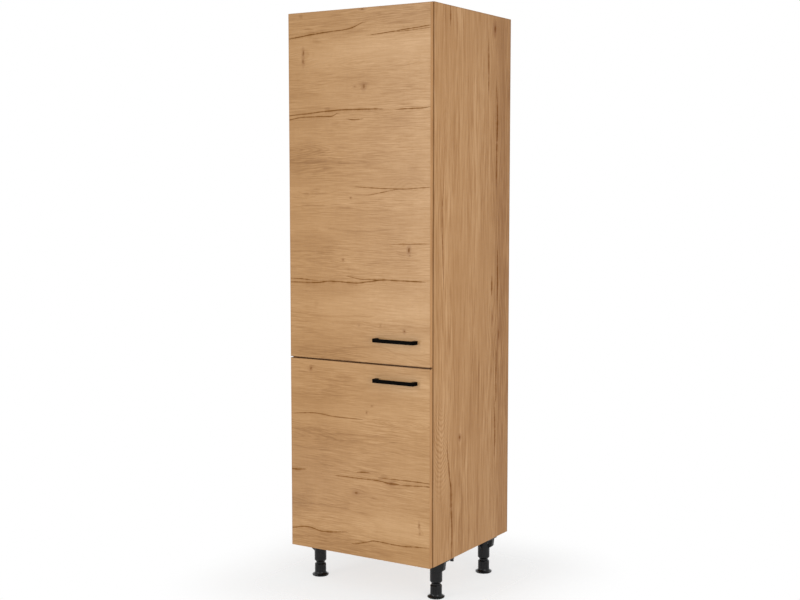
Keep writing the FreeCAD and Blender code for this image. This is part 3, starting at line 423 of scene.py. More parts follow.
LOWER_DOOR = Figure(
    ends=(-HALF_WIDTH, HALF_WIDTH),
    dark=0.80,
    cracks=(
        (((-300, 635), (-185, 645), (-90, 640), (10, 641)), 1.0),
        (((-300, 427), (-270, 428), (-235, 432)), 1.8),
        (((-90, 424), (85, 427), (138, 422), (300, 431)), 1.3),
        (((-5, 446), (20, 450), (45, 451)), 1.5),
        (((95, 438), (200, 441), (300, 442)), 1.1),
        (((-300, 204), (-220, 216), (-162, 209), (-55, 221)), 1.6),
        (((-20, 182), (30, 196), (79, 207), (155, 204), (285, 213)), 1.4),
    ),
    veins=(
        (((-290, 791), (-200, 796), (-125, 800)), 3.0),
        (((-300, 580), (-190, 569), (-70, 556), (60, 560), (160, 572)), 4.0),
        (((-120, 575), (20, 582), (150, 590)), 3.5),
        (((-20, 628), (90, 622), (210, 632)), 3.0),
        (((-300, 520), (-200, 512), (-60, 515)), 3.5),
        (((-300, 300), (-140, 308), (40, 300)), 3.5),
    ),
    knots=(
        (-207, 809, 4, 6, 0.9), (-11, 370, 9, 5, 0.9), (254, 287, 3, 10, 0.7), (254, 257, 3, 5, 0.6),
        (35, 667, 3, 4, 0.7), (58, 693, 4, 3, 0.5), (138, 421, 11, 4, 0.9), (60, 360, 8, 3, 0.4),
    ),
    smudges=(
        (-207, 812, 16, 14, 0.5), (-5, 374, 26, 14, 0.6), (110, 446, 30, 12, 0.7),
        (40, 452, 60, 14, 0.4), (254, 272, 12, 34, 0.5), (-190, 645, 90, 10, 0.4),
        (-160, 600, 120, 12, 0.5), (-60, 330, 30, 30, 0.3), (138, 424, 30, 10, 0.6),
        (-275, 430, 70, 26, 0.9), (60, 360, 22, 12, 0.4), (-190, 214, 60, 12, 0.5),
        (-230, 520, 260, 280, 0.60), (-220, 690, 210, 60, 0.45), (-60, 165, 330, 45, 0.7),
        (-200, 200, 170, 34, 0.6), (-290, 350, 140, 180, 0.8), (-130, 770, 240, 50, 0.45),
        (0, 365, 80, 40, 0.45),
    ),
    lights=(
        (215, 680, 180, 70, 0.45), (240, 270, 250, 75, 0.85), (215, 770, 200, 60, 0.85),
        (25, 262, 90, 40, 0.8),
    ),
    hearts=(
        (-330, 555, 330, 55, 9, 0.35), (190, 640, 150, 30, 6, 0.5), (-150, 330, 260, 40, 5, 0.3),
    ),
)
SIDE = Figure(
    ends=(BASE_Z, TOP_Z),
    dark=1.0,
    cracks=(
        (((2090, -148), (2058, -148), (2024, -148)), 1.6),
        (((1985, 131), (1900, 132), (1808, 133)), 2.0),
        (((1840, 192), (1723, 202), (1600, 199), (1489, 197)), 2.9),
        (((1470, -193), (1350, -203), (1229, -196), (1118, -191)), 1.7),
        (((1240, 209), (1132, 213), (1030, 212)), 2.2),
        (((1136, 167), (1100, 166), (1068, 166)), 2.4),
        (((850, 206), (776, 203), (696, 205), (648, 190)), 1.8),
        (((650, 191), (529, 199), (470, 194)), 2.2),
        (((540, -163), (436, -144), (378, -134), (309, -133), (238, -127), (141, -127)), 2.8),
    ),
    veins=(
        (((1700, -186), (1577, -191), (1457, -193)), 5.0),
        (((1400, -64), (1340, -70), (1280, -74)), 6.0),
        (((2080, 40), (1900, 46), (1700, 42)), 6.0),
        (((1650, 30), (1450, 36), (1200, 28)), 6.0),
        (((1000, -110), (850, -116), (700, -108)), 6.0),
        (((960, 60), (760, 66), (560, 58)), 6.0),
        (((480, 60), (330, 66), (145, 60)), 6.0),
        (((420, -60), (290, -54), (145, -58)), 5.0),
    ),
    knots=(
        (2042, 181, 16, 9, 1.0), (573, -72, 8, 7, 0.9), (981, 174, 18, 7, 0.4),
        (915, 223, 26, 7, 0.7),
    ),
    smudges=(
        (2042, 180, 40, 14, 0.7), (985, 172, 60, 18, 0.7), (919, 222, 50, 14, 0.7),
        (574, -70, 26, 12, 0.5), (1366, 170, 40, 16, 0.5), (1783, 98, 40, 22, 0.4),
        (800, 206, 90, 12, 0.4), (620, -30, 60, 16, 0.3), (1450, 226, 620, 80, 0.5),
        (700, 18, 280, 45, 0.55), (2010, 228, 130, 60, 0.5), (1330, 105, 260, 40, 0.35),
        (1000, 216, 190, 70, 0.6),
    ),
    lights=(
        (1560, -150, 560, 34, 0.4), (1540, -60, 520, 30, 0.3), (1500, 40, 480, 36, 0.55),
        (1255, -168, 370, 48, 0.9), (570, -188, 230, 70, 1.0), (350, -75, 100, 30, 0.9),
    ),
    hearts=(
        (880, -200, 470, 200, 24, 1.8, -1), (1300, -214, 300, 60, 6, 0.2),
        (1560, -180, 230, 70, 7, 0.3),
    ),
)
PLAIN = Figure((0.0, 1.0), 0.0, (), (), (), (), (), ())


def scaled_lines(figure, lines):
    """Lines with their points as (share of the board's length, metres across) and half widths in metres."""
    low, high = figure.ends
    return [
        (sorted(((p[0] * MM - low) / (high - low), p[1] * MM) for p in points), half * MM)
        for points, half in lines
    ]


def line_distance(finish, share, across, lines):
    """Distance from the nearest line, in half widths of that line, which narrows to its ends."""
    nearest = None
    for points, half in lines:
        middle = (min(p[1] for p in points) + max(p[1] for p in points)) / 2
        place = [(p[0], 0.5 + (p[1] - middle) / CRACK_WINDOW) for p in points]
        first, last = place[0][0], place[-1][0]
        taper = min(LINE_TAPER, (last - first) / 4)
        line = finish.add("ShaderNodeFloatCurve", {"points": place}, {"Value": share})
        body = [
            (first - taper / 2, 0.0),
            (first + taper, 0.8),
            ((first + last) / 2, 1.0),
            (last - taper, 0.75),
            (last + taper / 2, 0.0),
        ]
        width = finish.add("ShaderNodeFloatCurve", {"points": body}, {"Value": share})
        offset = abs(across - (line - 0.5) * CRACK_WINDOW - middle)
        distance = offset / (width * half + HAIR)
        nearest = distance if nearest is None else nearest.least(distance)
    return nearest


def patches(along, across, places):
    """Soft round marks, each with its own strength: the strongest at a point, 0 to 1."""
    strongest = None
    for place_along, place_across, half_long, half_high, strength in places:
        u = (along - place_along * MM) / (half_long * MM)
        v = (across - place_across * MM) / (half_high * MM)
        mark = (u * u + v * v).ramp(1.0, 0.0) * strength
        strongest = mark if strongest is None else strongest.most(mark)
    return strongest


def knot_push(along, across, knots):
    """How far the grain is pushed aside round the knots."""
    total = None
    for place_along, place_across, *halves, _strength in knots:
        reach = max(halves)
        u = (along - place_along * MM) / (KNOT_REACH_ALONG * reach * MM)
        v = (across - place_across * MM) / (KNOT_REACH_ACROSS * reach * MM)
        push = v * (u * u + v * v).ramp(1.0, 0.0) * (KNOT_PUSH * reach * MM)
        total = push if total is None else total + push
    return total


def heart_rings(along, across, hearts, waver):
    """Pointed rings of flat-sawn figure, 0 to 1, faded out at the heart's edge."""
    figure = None
    for place_along, place_across, half_long, half_high, rings, strength, *end in hearts:
        u = (along - place_along * MM) / (half_long * MM)
        v = (across - place_across * MM) / (half_high * MM)
        reach = (abs(u) ** HEART_POINT + abs(v) ** HEART_POINT) ** (1 / HEART_POINT)
        count = (reach + waver) * (rings * 2 * math.pi)
        wave = (count.math("SINE", count) * 0.5 + 0.5) ** HEART_SHARPNESS
        shown = wave * reach.ramp(*HEART_FADE) * strength
        if end:
            shown = shown * (u * end[0]).ramp(*HEART_END) * abs(v).ramp(*HEART_SPREAD)
        figure = shown if figure is None else figure.most(shown)
    return figure


def oak_pattern(finish, along, across, seed, figure=PLAIN, rows=DOOR_LAYERS, shift=0.0):
    """Colour, roughness, relief and bare places of oak whose grain runs along one of the coordinates."""

    def grain_noise(rates, cross, detail=2.0, roughness=0.5):
        long_rate, cross_rate, step = rates
        place = finish.vector(along * long_rate, cross * cross_rate, seed + step)
        return finish.noise(place, detail=detail, roughness=roughness)

    low, high = figure.ends
    share = (along - low) / (high - low)
    drift = grain_noise(DRIFT, across)
    fine_drift = grain_noise(FINE_DRIFT, across)
    grain = across + drift * GRAIN_BY_DRIFT + fine_drift * GRAIN_BY_FINE
    if figure.knots:
        grain = grain - knot_push(along, across, figure.knots)
    busy = grain_noise(BUSY, across).ramp(-BUSY_STEP, BUSY_STEP) * BUSY_SPAN + BUSY_LEAST
    tone = 0.5 + shift
    layers = {}
    for number, (name, (long_rate, cross_rate, detail, part)) in enumerate(rows.items()):
        rates = (long_rate, cross_rate, LAYER_STEP * (number + 1))
        layers[name] = grain_noise(rates, grain, detail, LAYER_ROUGHNESS)
        step = layers[name] * part
        tone = tone + (step * busy if name == "dashes" else step)
    dashes = layers["dashes"]
    jagged = across + fine_drift * LINE_BY_FINE + dashes * LINE_BY_DASHES
    if figure.hearts:
        waver = drift * HEART_BY_DRIFT + fine_drift * HEART_BY_FINE
        tone = tone - heart_rings(along, across, figure.hearts, waver) * HEART_DEPTH
    if figure.veins:
        loose = jagged + fine_drift * VEIN_BY_FINE + dashes * VEIN_BY_DASHES
        vein = line_distance(finish, share, loose, scaled_lines(figure, figure.veins)).ramp(*VEIN_FADE)
        tone = tone - vein * VEIN_DEPTH
    if figure.smudges:
        spread = dashes * SMUDGE_BY_DASHES
        smudge_along = along + fine_drift * SMUDGE_ALONG_BY_FINE
        smudge_across = across + fine_drift * SMUDGE_BY_FINE + spread
        tone = tone - patches(smudge_along, smudge_across, figure.smudges) * SMUDGE_DEPTH
    # Pale places lift the tone: some are the print's own, some are painted light
    if figure.lights:
        light_along = along + drift * LIGHT_ALONG_BY_DRIFT
        light_across = across + drift * LIGHT_BY_DRIFT
        tone = tone + patches(light_along, light_across, figure.lights) * LIGHT_LIFT
    colour = finish.shades(tone, OAK_SHADES)
    speck = grain_noise(PORES, grain, 1.0)
    pores = speck.ramp(*PORE_STEP) * (PORE_SHARE + layers["rings"] + layers["blotches"]).held()
    colour = finish.mix(pores * PORE_COVER, colour, OAK_PORE)
    sunk = pores * PORE_SINK
    bare = None
    if figure.cracks:
        broken = grain_noise(BREAKS, across, 3.0, 0.6)
        distance = line_distance(finish, share, jagged, scaled_lines(figure, figure.cracks))
        distance = distance / (1.0 + broken * BREAK_STRENGTH).most(BREAK_LEAST)
        halo = distance.ramp(*CRACK_HALO)
        colour = finish.mix(halo * (CRACK_HALO_COVER * figure.dark), colour, CRACK_EDGE)
        core = distance.ramp(*CRACK_BODY)
        colour = finish.mix(core * figure.dark, colour, CRACK_CORE)
        sunk = sunk.most(core * CRACK_SINK)
        bare = distance.ramp(*CRACK_BARE)
    if figure.knots:
        shake = fine_drift * KNOT_BY_FINE + dashes * KNOT_BY_DASHES
        wide = [(a, b, KNOT_HALO * c, KNOT_HALO * d, s) for a, b, c, d, s in figure.knots]
        edge = patches(along + shake, across + shake, wide)
        core = patches(along + shake, across + shake, figure.knots)
        colour = finish.mix(edge * (KNOT_HALO_COVER * figure.dark), colour, KNOT_EDGE)
        colour = finish.mix(core * (KNOT_COVER * figure.dark), colour, KNOT_CORE)
        bare = bare.most(core)
    height = dashes * DASH_RISE - sunk
    roughness = OAK_ROUGHNESS - dashes * DASH_GLOSS + sunk * SUNK_DULLNESS
    return colour, roughness, height, bare


def chipboard_pattern(finish):
    """Colour and relief of a raw chipboard edge: pressed flakes of several tones."""
    sockets = {"Vector": finish.place, "Scale": FLAKES, "Randomness": 1.0}
    flake = finish.add("ShaderNodeTexVoronoi", sockets=sockets, out="Color")
    tone = finish.add("ShaderNodeSeparateColor", sockets={0: flake})
    dust = finish.noise(finish.place, scale=DUST, detail=2.0)
    return finish.shades(tone * 0.75 + dust * 0.5 + 0.12, CHIP_SHADES), dust


def oak_surface(finish, pattern, core=None, shine=DOOR_SHINE):
    """Printed oak, dull where the print is bare in a crack, with raw chipboard where core is 1."""
    colour, roughness, height, bare = pattern
    if core is not None:
        chip, dust = chipboard_pattern(finish)
        colour = finish.mix(core, colour, chip)
        roughness = roughness + core * CHIP_DULLNESS
        height = height * (1.0 - core) + dust * core
    normal = finish.relief(height, OAK_RELIEF, 0.5)
    return finish.surface(
        bare, Base_Color=colour, Roughness=roughness, Specular_IOR_Level=shine, Normal=normal)


def door_oak(name, figure, seed, low_z, high_z):
    """Door board: oak with the grain across the unit, darker along its banded rim as painted shade of the
    gaps round it.
    """
    finish = Finish(name)
    colour, *rest = oak_pattern(finish, finish.x, finish.z, seed, figure)
    beyond_side = abs(finish.x) - DOOR_HALF
    beyond_end = abs(finish.z - (low_z + high_z) / 2) - (high_z - low_z) / 2
    # Painted shade of the gaps round the door: the face darkens towards all its edges
    rim = beyond_side.most(beyond_end).ramp(*RIM_STEP)
    return oak_surface(finish, (finish.mix(rim * DOOR_RIM_SHADE, colour, GLUE_LINE_AND_SEAM_SHADE), *rest))


def side_oak(name, seed, turned_over):
    """Side panel: oak faces with the grain upright, banded front edge, raw edges elsewhere."""
    finish = Finish(name)
    along = (BASE_Z + TOP_Z) - finish.z if turned_over else finish.z
    dark_back = finish.y.ramp(*BACK_SHADE_Y) * BACK_SHADE
    colour, *rest = oak_pattern(finish, along, finish.y, seed, SIDE, SIDE_LAYERS, dark_back)
    colour = finish.mix(SIDE_WARMTH_SHARE, colour, SIDE_WARMTH)
    # A glue line along the banded front edge, made darker as painted shade of the seam between the door and
    # the side; a darker rim along the top and back edges
    glue_and_seam_shade = (finish.y - FRONT_Y).ramp(*BAND_STEP) * SIDE_GLUE_AND_SEAM_SHADE
    top_rim = (finish.z - TOP_Z).ramp(*RIM_STEP)
    rim = top_rim.most((finish.y - BACK_Y).ramp(*BACK_RIM_STEP)) * SIDE_RIM
    pattern = (finish.mix(glue_and_seam_shade.most(rim), colour, GLUE_LINE_AND_SEAM_SHADE), *rest)
    depth = abs(abs(finish.x) - (HALF_WIDTH - BOARD / 2))
    core = (BOARD / 2 - SKIN - depth).over(0.0) * (finish.y - FRONT_Y).over(2 * SKIN)
    return oak_surface(finish, pattern, core, SIDE_SHINE)


def board_oak(name, low_z, seed):
    """Board between the sides: oak faces with the grain across the unit, banded front edge, raw back."""
    finish = Finish(name)
    pattern = oak_pattern(finish, finish.x, finish.y + finish.z, seed)
    depth = abs(finish.z - (low_z + BOARD / 2))
    core = (BOARD / 2 - SKIN - depth).over(0.0) * (finish.y - FRONT_Y).over(2 * SKIN)
    return oak_surface(finish, pattern, core)


def rail_oak():
    """Rear rails: oak faces, raw top and bottom edges."""
    finish = Finish("rail_oak")
    core = (BOARD / 2 - SKIN - abs(finish.y - (BACK_Y - BOARD / 2))).over(0.0)
    return oak_surface(finish, oak_pattern(finish, finish.x, finish.z, 41.0), core)


def shelf_oak():
    """Loose shelf: oak faces and banding all round."""
    finish = Finish("shelf_oak")
    return oak_surface(finish, oak_pattern(finish, finish.x, finish.y + finish.z, 53.0))


def edge_oak():
    """Edge strip of the doors: oak print drawn out along it, with painted shade at the joint between the
    doors and a glue line darkened as painted shade along its back.
    """
    finish = Finish("edge_oak")
    streaks = finish.noise(finish.stretched(3.0, 420.0, 3.0, 2.0), detail=3.0, roughness=0.6)
    clouds = finish.noise(finish.stretched(7.0, 40.0, 7.0, 5.0), detail=2.0)
    colour = finish.shades(0.45 + streaks * 0.5 + clouds * 0.5, EDGE_SHADES)
    arris = (finish.y - DOOR_FRONT_Y).ramp(*ARRIS_STEP)
    # Painted shade in the joint between the doors, strongest by the front arris, and a glue line along the
    # back, darkened as painted shade of the seam by the side panel
    joint_shade = abs(finish.z - DOOR_JOINT_Z).ramp(*JOINT_STEP) * (arris * 0.6 + 0.35)
    glue_and_seam_shade = finish.y.ramp(*(DOOR_BACK_Y - step for step in BAND_STEP))
    colour = finish.mix(joint_shade.most(glue_and_seam_shade * EDGE_GLUE_AND_SEAM_SHADE), colour, GLUE_LINE_AND_SEAM_SHADE)
    return finish.surface(
        Base_Color=colour, Roughness=0.42 - streaks * 0.2, Specular_IOR_Level=EDGE_SHINE,
        Normal=finish.relief(streaks, 0.0002, 0.4))


def hardboard():
    """Thin back: oak print towards the cupboard, bare brown hardboard with its mesh mark behind."""
    finish = Finish("hardboard")
    oak, roughness, height = oak_pattern(finish, finish.z, finish.x, 67.0)[:3]
    fibres = finish.noise(finish.stretched(260.0, 40.0, 300.0), detail=4.0, roughness=0.7)
    mesh_mark = finish.noise(finish.stretched(900.0, 1.0, 900.0), detail=0.0)
    bare = finish.shades(0.5 + fibres * 0.9 + mesh_mark * 0.25, HARDBOARD_SHADES)
    behind = (finish.y - BACK_PANEL_MIDDLE_Y).over(0.0)
    colour = finish.mix(behind, oak, bare)
    pressed = height * (1.0 - behind) + (mesh_mark + fibres * 0.4) * behind
    normal = finish.relief(pressed, OAK_RELIEF, 0.6)
    return finish.surface(Base_Color=colour, Roughness=roughness + behind * 0.3, Normal=normal)


def bright_metal(name, low, high, rough, brushed):
    """Plated metal: fine rolling marks, faint clouding, duller where it has been handled."""
    finish = Finish(name)
    marks = finish.noise(finish.stretched(*brushed), detail=3.0, roughness=0.6)
    clouds = finish.noise(finish.place, scale=90.0, detail=3.0)
    colour = finish.shades(0.5 + marks * 0.5 + clouds * 0.6, ((0.25, low), (0.75, high)))
    roughness = rough + marks * 0.16 + clouds * 0.14
    return finish.surface(Base_Color=colour, Roughness=roughness, Metallic=1.0,
                          Normal=finish.relief(marks, 0.00006, 0.5))


def beech():
    """Beech dowels: fine fibres with short dark flecks."""
    finish = Finish("beech")
    fibres = finish.noise(finish.stretched(30.0, 700.0, 700.0), detail=3.0)
    flecks = finish.noise(finish.stretched(120.0, 1800.0, 1800.0, 3.0), detail=1.0).ramp(0.12, 0.25)
    colour = finish.shades(0.5 + fibres, BEECH_SHADES)
    colour = finish.mix(flecks * 0.5, colour, BEECH_FLECK)
    return finish.surface(Base_Color=colour, Roughness=0.62 + fibres * 0.2,
                          Normal=finish.relief(fibres, 0.0003, 0.4))


def clear_bumper():
    """Clear soft plastic with a faint haze."""
    finish = Finish("clear_bumper")
    haze = finish.noise(finish.place, scale=900.0, detail=2.0)
    colour = finish.shades(0.5 + haze, BUMPER_SHADES)
    return finish.surface(
        Base_Color=colour, Roughness=0.28 + haze * 0.2, Transmission_Weight=0.55, IOR=1.49)


def black_finish(name, low, high, rough, shine, grain, depth):
    """Black coating or moulding with a fine even texture and slight rubbing."""
    finish = Finish(name)
    texture = finish.noise(finish.place, scale=grain, detail=2.0, roughness=0.6)
    rubbing = finish.noise(finish.place, scale=45.0, detail=3.0)
    colour = finish.shades(0.5 + texture * 0.35 + rubbing * 0.7, ((0.3, low), (0.75, high)))
    roughness = rough + texture * 0.14 + rubbing * 0.16
    return finish.surface(Base_Color=colour, Roughness=roughness, Specular_IOR_Level=shine,
                          Normal=finish.relief(texture, depth, 0.45))


ZINC = bright_metal(
    "zinc", low=(0.45, 0.46, 0.48), high=(0.66, 0.67, 0.69), rough=0.42, brushed=(300.0, 300.0, 300.0))
SCREW_STEEL = bright_metal(
    "screw_steel", low=(0.50, 0.50, 0.50), high=(0.72, 0.71, 0.69), rough=0.30,
    brushed=(500.0, 500.0, 500.0))
HINGE_NICKEL = bright_metal(
    "hinge_nickel", low=(0.56, 0.54, 0.50), high=(0.76, 0.74, 0.70), rough=0.24,
    brushed=(40.0, 40.0, 900.0))
HANDLE_BLACK = black_finish(
    "handle_black", low=(0.0008, 0.0007, 0.0006), high=(0.0025, 0.0021, 0.0018), rough=0.40, shine=0.016,
    grain=2600.0, depth=0.00005)
LEG_BLACK = black_finish(
    "leg_black", low=(0.0040, 0.0040, 0.0042), high=(0.0130, 0.0130, 0.0134), rough=0.15, shine=0.24,
    grain=1700.0, depth=0.00003)
BUMPER = clear_bumper()

FINISHES = {
    "left_side_panel": side_oak("left_side_oak", 23.0, True),
    "right_side_panel": side_oak("right_side_oak", 17.0, False),
    "bottom_panel": board_oak("bottom_oak", BASE_Z, 31.0),
    "niche_floor": board_oak("niche_floor_oak", NICHE_FLOOR_Z, 33.0),
    "top_panel": board_oak("top_oak", TOP_Z - BOARD, 37.0),
    "adjustable_shelf": shelf_oak(),
    "back_panel": hardboard(),
    "cam_locks": ZINC,
    "cam_bolts": ZINC,
    "dowels": beech(),
    "shelf_pins": ZINC,
    "door_bumpers": BUMPER,
    "leg_screws": SCREW_STEEL,
}
FINISHES["lower_rear_rail"] = FINISHES["upper_rear_rail"] = rail_oak()
FINISHES["upper_door"] = door_oak("upper_door_oak", UPPER_DOOR, 3.0, *UPPER_DOOR_SPAN)
FINISHES["lower_door"] = door_oak("lower_door_oak", LOWER_DOOR, 9.0, *LOWER_DOOR_SPAN)
EDGE_OAK = edge_oak()
STEEL_FITTINGS = (
    "handle_screws", "hinge_cup_screws", "hinge_plate_screws", "hinge_cup_pins", "hinge_arm_pins")
NICKEL_FITTINGS = ("hinge_cups", "hinge_outer_links", "hinge_inner_links", "hinge_arms", "hinge_plates")
for door in ("upper", "lower"):
    FINISHES[door + "_door_edge_band"] = EDGE_OAK
    FINISHES[door + "_handle"] = HANDLE_BLACK
    for fitting in STEEL_FITTINGS:
        FINISHES[door + "_" + fitting] = SCREW_STEEL
    for fitting in NICKEL_FITTINGS:
        FINISHES[door + "_" + fitting] = HINGE_NICKEL
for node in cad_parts:
    if node.startswith(("leg_bracket", "leg_foot")):
        FINISHES[node] = LEG_BLACK

for node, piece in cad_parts.items():
    piece.data.materials.clear()
    piece.data.materials.append(FINISHES[node])


class Shape(Tree):
    """A Geometry Nodes tree with named inputs that sets turned bodies on points."""

    def __init__(self, name, inputs):
        super().__init__(bpy.data.node_groups.new(name, "GeometryNodeTree"))
        sockets = self.tree.interface
        sockets.new_socket("Points", in_out="INPUT", socket_type="NodeSocketGeometry")
        for label, kind in inputs.items():
            sockets.new_socket(label, in_out="INPUT", socket_type=kind)
        sockets.new_socket("Bodies", in_out="OUTPUT", socket_type="NodeSocketGeometry")
        self.given = self.tree.nodes.new("NodeGroupInput")

    def value(self, label):
        return Tone(self, self.given.outputs[label])

    def turned(self, outline, steps, around):
        """Body of radius and height 1, turned about Z to an outline of (height, radius) points."""
        line = self.add("GeometryNodeCurvePrimitiveLine", sockets={"Start": (0, 0, 0), "End": (0, 0, 1)})
        line = self.add("GeometryNodeResampleCurve", sockets={"Curve": line, "Count": steps})
        along = self.add("GeometryNodeSplineParameter", out="Factor")
        radius = self.add("ShaderNodeFloatCurve", {"points": outline}, {"Value": along})
        ring = self.add("GeometryNodeCurvePrimitiveCircle", sockets={"Resolution": around, "Radius": 1.0})
        sockets = {"Curve": line, "Profile Curve": ring, "Scale": radius, "Fill Caps": True}
        return self.add("GeometryNodeCurveToMesh", sockets=sockets)

    def set_on_points(self, body, size):
        """The body on every point, scaled by that point's own size and turned by the input Turn."""
        sizes = self.add("GeometryNodeInputNamedAttribute", {"data_type": "FLOAT_VECTOR"}, {"Name": size})
        turn = self.add("FunctionNodeEulerToRotation", sockets={0: self.value("Turn")})
        sockets = {"Points": self.value("Points"), "Instance": body, "Rotation": turn, "Scale": sizes}
        return self.add("GeometryNodeInstanceOnPoints", sockets=sockets)

    def finish(self, *sets):
        both = self.tree.nodes.new("GeometryNodeJoinGeometry")
        for bodies in sets:
            self.tree.links.new(bodies.socket, both.inputs[0])
        solid = self.add("GeometryNodeRealizeInstances", sockets={0: Tone(self, both.outputs[0])})
        sockets = {"Geometry": solid, "Material": self.value("Finish")}
        solid = self.add("GeometryNodeSetMaterial", sockets=sockets)
        result = self.tree.nodes.new("NodeGroupOutput")
        self.tree.links.new(solid.socket, result.inputs[0])
        return self


# Points nearer than this are one point, and edges sharper than this angle stay sharp
WELD = 1e-6
SHARP_ANGLE = math.radians(35)

# Outlines of turned heads: (share of the height, share of the radius)
PAN_HEAD = ((0.0, 1.0), (0.45, 0.98), (0.75, 0.86), (0.92, 0.62), (1.0, 0.40))
PLAIN_SHANK = ((0.0, 0.45), (0.12, 0.95), (0.2, 1.0), (1.0, 1.0))
SOFT_DOME = ((0.0, 1.0), (0.35, 0.97), (0.65, 0.82), (0.88, 0.52), (1.0, 0.18))


def screw_shape():
    """Cross-head screws: turned pan head with a cross sunk in it, and a shank below."""
    shape = Shape("cross_head_screws", {
        "Turn": "NodeSocketVector", "Finish": "NodeSocketMaterial", "Cross length": "NodeSocketFloat",
        "Cross width": "NodeSocketFloat", "Cross depth": "NodeSocketFloat",
    })
    head = shape.turned(PAN_HEAD, 12, 32)
    length, width, depth = (shape.value("Cross " + word) for word in ("length", "width", "depth"))
    high = depth * 2
    for first, second in ((length, width), (width, length)):
        size = shape.add("ShaderNodeCombineXYZ", sockets={0: first, 1: second, 2: high})
        bar = shape.add("GeometryNodeMeshCube", sockets={"Size": size})
        bar = shape.add("GeometryNodeTransform", sockets={"Geometry": bar, "Translation": (0, 0, 1)})
        cut = shape.tree.nodes.new("GeometryNodeMeshBoolean")
        cut.operation = "DIFFERENCE"
        shape.tree.links.new(head.socket, cut.inputs["Mesh 1"])
        shape.tree.links.new(bar.socket, cut.inputs["Mesh 2"])
        head = Tone(shape, cut.outputs["Mesh"])
    shank = shape.turned(PLAIN_SHANK, 8, 20)
    shank = shape.add("GeometryNodeTransform", sockets={"Geometry": shank, "Translation": (0, 0, -1)})
    return shape.finish(shape.set_on_points(head, "head"), shape.set_on_points(shank, "shank"))


def dome_shape():
    """Soft domes on points."""
    shape = Shape("soft_domes", {"Turn": "NodeSocketVector", "Finish": "NodeSocketMaterial"})
    return shape.finish(shape.set_on_points(shape.turned(SOFT_DOME, 14, 32), "head"))


def solid_boxes(node):
    """Lowest and highest corner of each separate solid in a CAD node."""
    build = bmesh.new()
    build.from_mesh(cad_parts[node].data)
    bmesh.ops.remove_doubles(build, verts=build.verts, dist=WELD)
    left = set(build.verts)
    boxes = []
    while left:
        queue = [left.pop()]
        places = []
        while queue:
            vert = queue.pop()
            places.append(vert.co.copy())
            near = [edge.other_vert(vert) for edge in vert.link_edges]
            queue += [other for other in near if other in left]
            left.difference_update(near)
        boxes.append([Vector(pick(p[i] for p in places) for i in range(3)) for pick in (min, max)])
    build.free()
    return boxes


# Ways that a head can face: axis, sign and the turn that takes +Z there
TO_BACK = (1, 1, (-math.pi / 2, 0.0, 0.0))
TO_FRONT = (1, -1, (math.pi / 2, 0.0, 0.0))
TO_RIGHT = (0, 1, (0.0, math.pi / 2, 0.0))
TO_FLOOR = (2, -1, (math.pi, 0.0, 0.0))


def stand_in(name, node, shape, facing, head_height, body, finish, settings):
    """Plain mesh of a shape on every solid of a CAD node, shown in that node's place."""
    axis, sign, turn = facing
    seats, heads, shanks = [], [], []
    for low, high in solid_boxes(node):
        seat = (low + high) / 2
        seat[axis] = (high if sign > 0 else low)[axis] - sign * head_height
        cross = (axis + 1) % 3
        radius = (high[cross] - low[cross]) / 2
        seats.append(seat)
        heads.append((radius, radius, head_height))
        shanks.append((radius / 2, radius / 2, max(high[axis] - low[axis] - head_height, SKIN)))
    mesh = bpy.data.meshes.new(name)
    mesh.from_pydata(seats, [], [])
    for label, sizes in (("head", heads), ("shank", shanks)):
        layer = mesh.attributes.new(label, "FLOAT_VECTOR", "POINT")
        layer.data.foreach_set("vector", [v for size in sizes for v in size])
    piece = bpy.data.objects.new(name, mesh)
    bpy.context.scene.collection.objects.link(piece)
    stamp = piece.modifiers.new("stamp", "NODES")
    stamp.node_group = shape.tree
    values = {"Turn": turn, "Finish": finish, **settings}
    for item in shape.tree.interface.items_tree:
        if item.name in values:
            stamp[item.identifier] = values[item.name]
    ready = piece.evaluated_get(bpy.context.evaluated_depsgraph_get())
    made = bpy.data.meshes.new_from_object(ready)
    piece.modifiers.clear()
    piece.data = made
    made.name = name
    for label in ("head", "shank"):
        if label in made.attributes:
            made.attributes.remove(made.attributes[label])
    build = bmesh.new()
    build.from_mesh(made)
    bmesh.ops.remove_doubles(build, verts=build.verts, dist=WELD)
    bmesh.ops.recalc_face_normals(build, faces=build.faces)
    build.to_mesh(made)
    build.free()
    made.shade_smooth()
    made.set_sharp_from_angle(angle=SHARP_ANGLE)
    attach(piece, body)
    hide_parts(node)


# Cross slot in shares of the head, and heights of the heads in metres
CROSS = {"Cross length": 1.15, "Cross width": 0.24, "Cross depth": 0.62}
HANDLE_HEAD = 0.0018
CUP_HEAD = 0.0015
PLATE_HEAD = 0.0020
LEG_HEAD = 0.0020
BUMPER_DOME = 0.0019

SCREWS = screw_shape()
DOMES = dome_shape()


def cross_heads(name, node, facing, head_height, body):
    """Steel cross-head screws in place of a CAD node's plain ones."""
    stand_in(name, node, SCREWS, facing, head_height, body, SCREW_STEEL, CROSS)


for door in ("upper", "lower"):
    leaf = door + "_door_leaf"
    cross_heads(door + "_handle_screw_set", door + "_handle_screws", TO_BACK, HANDLE_HEAD, leaf)
    cross_heads(door + "_cup_screw_set", door + "_hinge_cup_screws", TO_BACK, CUP_HEAD, leaf)
    cross_heads(door + "_plate_screw_set", door + "_hinge_plate_screws", TO_RIGHT, PLATE_HEAD, "carcass")
cross_heads("leg_screw_set", "leg_screws", TO_FLOOR, LEG_HEAD, "carcass")
stand_in("bumper_set", "door_bumpers", DOMES, TO_FRONT, BUMPER_DOME, "carcass", BUMPER, {})

# Floor: radius of the disc and how far from the unit it fades out, in metres, and how much of it shows
FLOOR_RADIUS = 4.0
FLOOR_FADE = 0.50
FLOOR_SHARE = 0.30

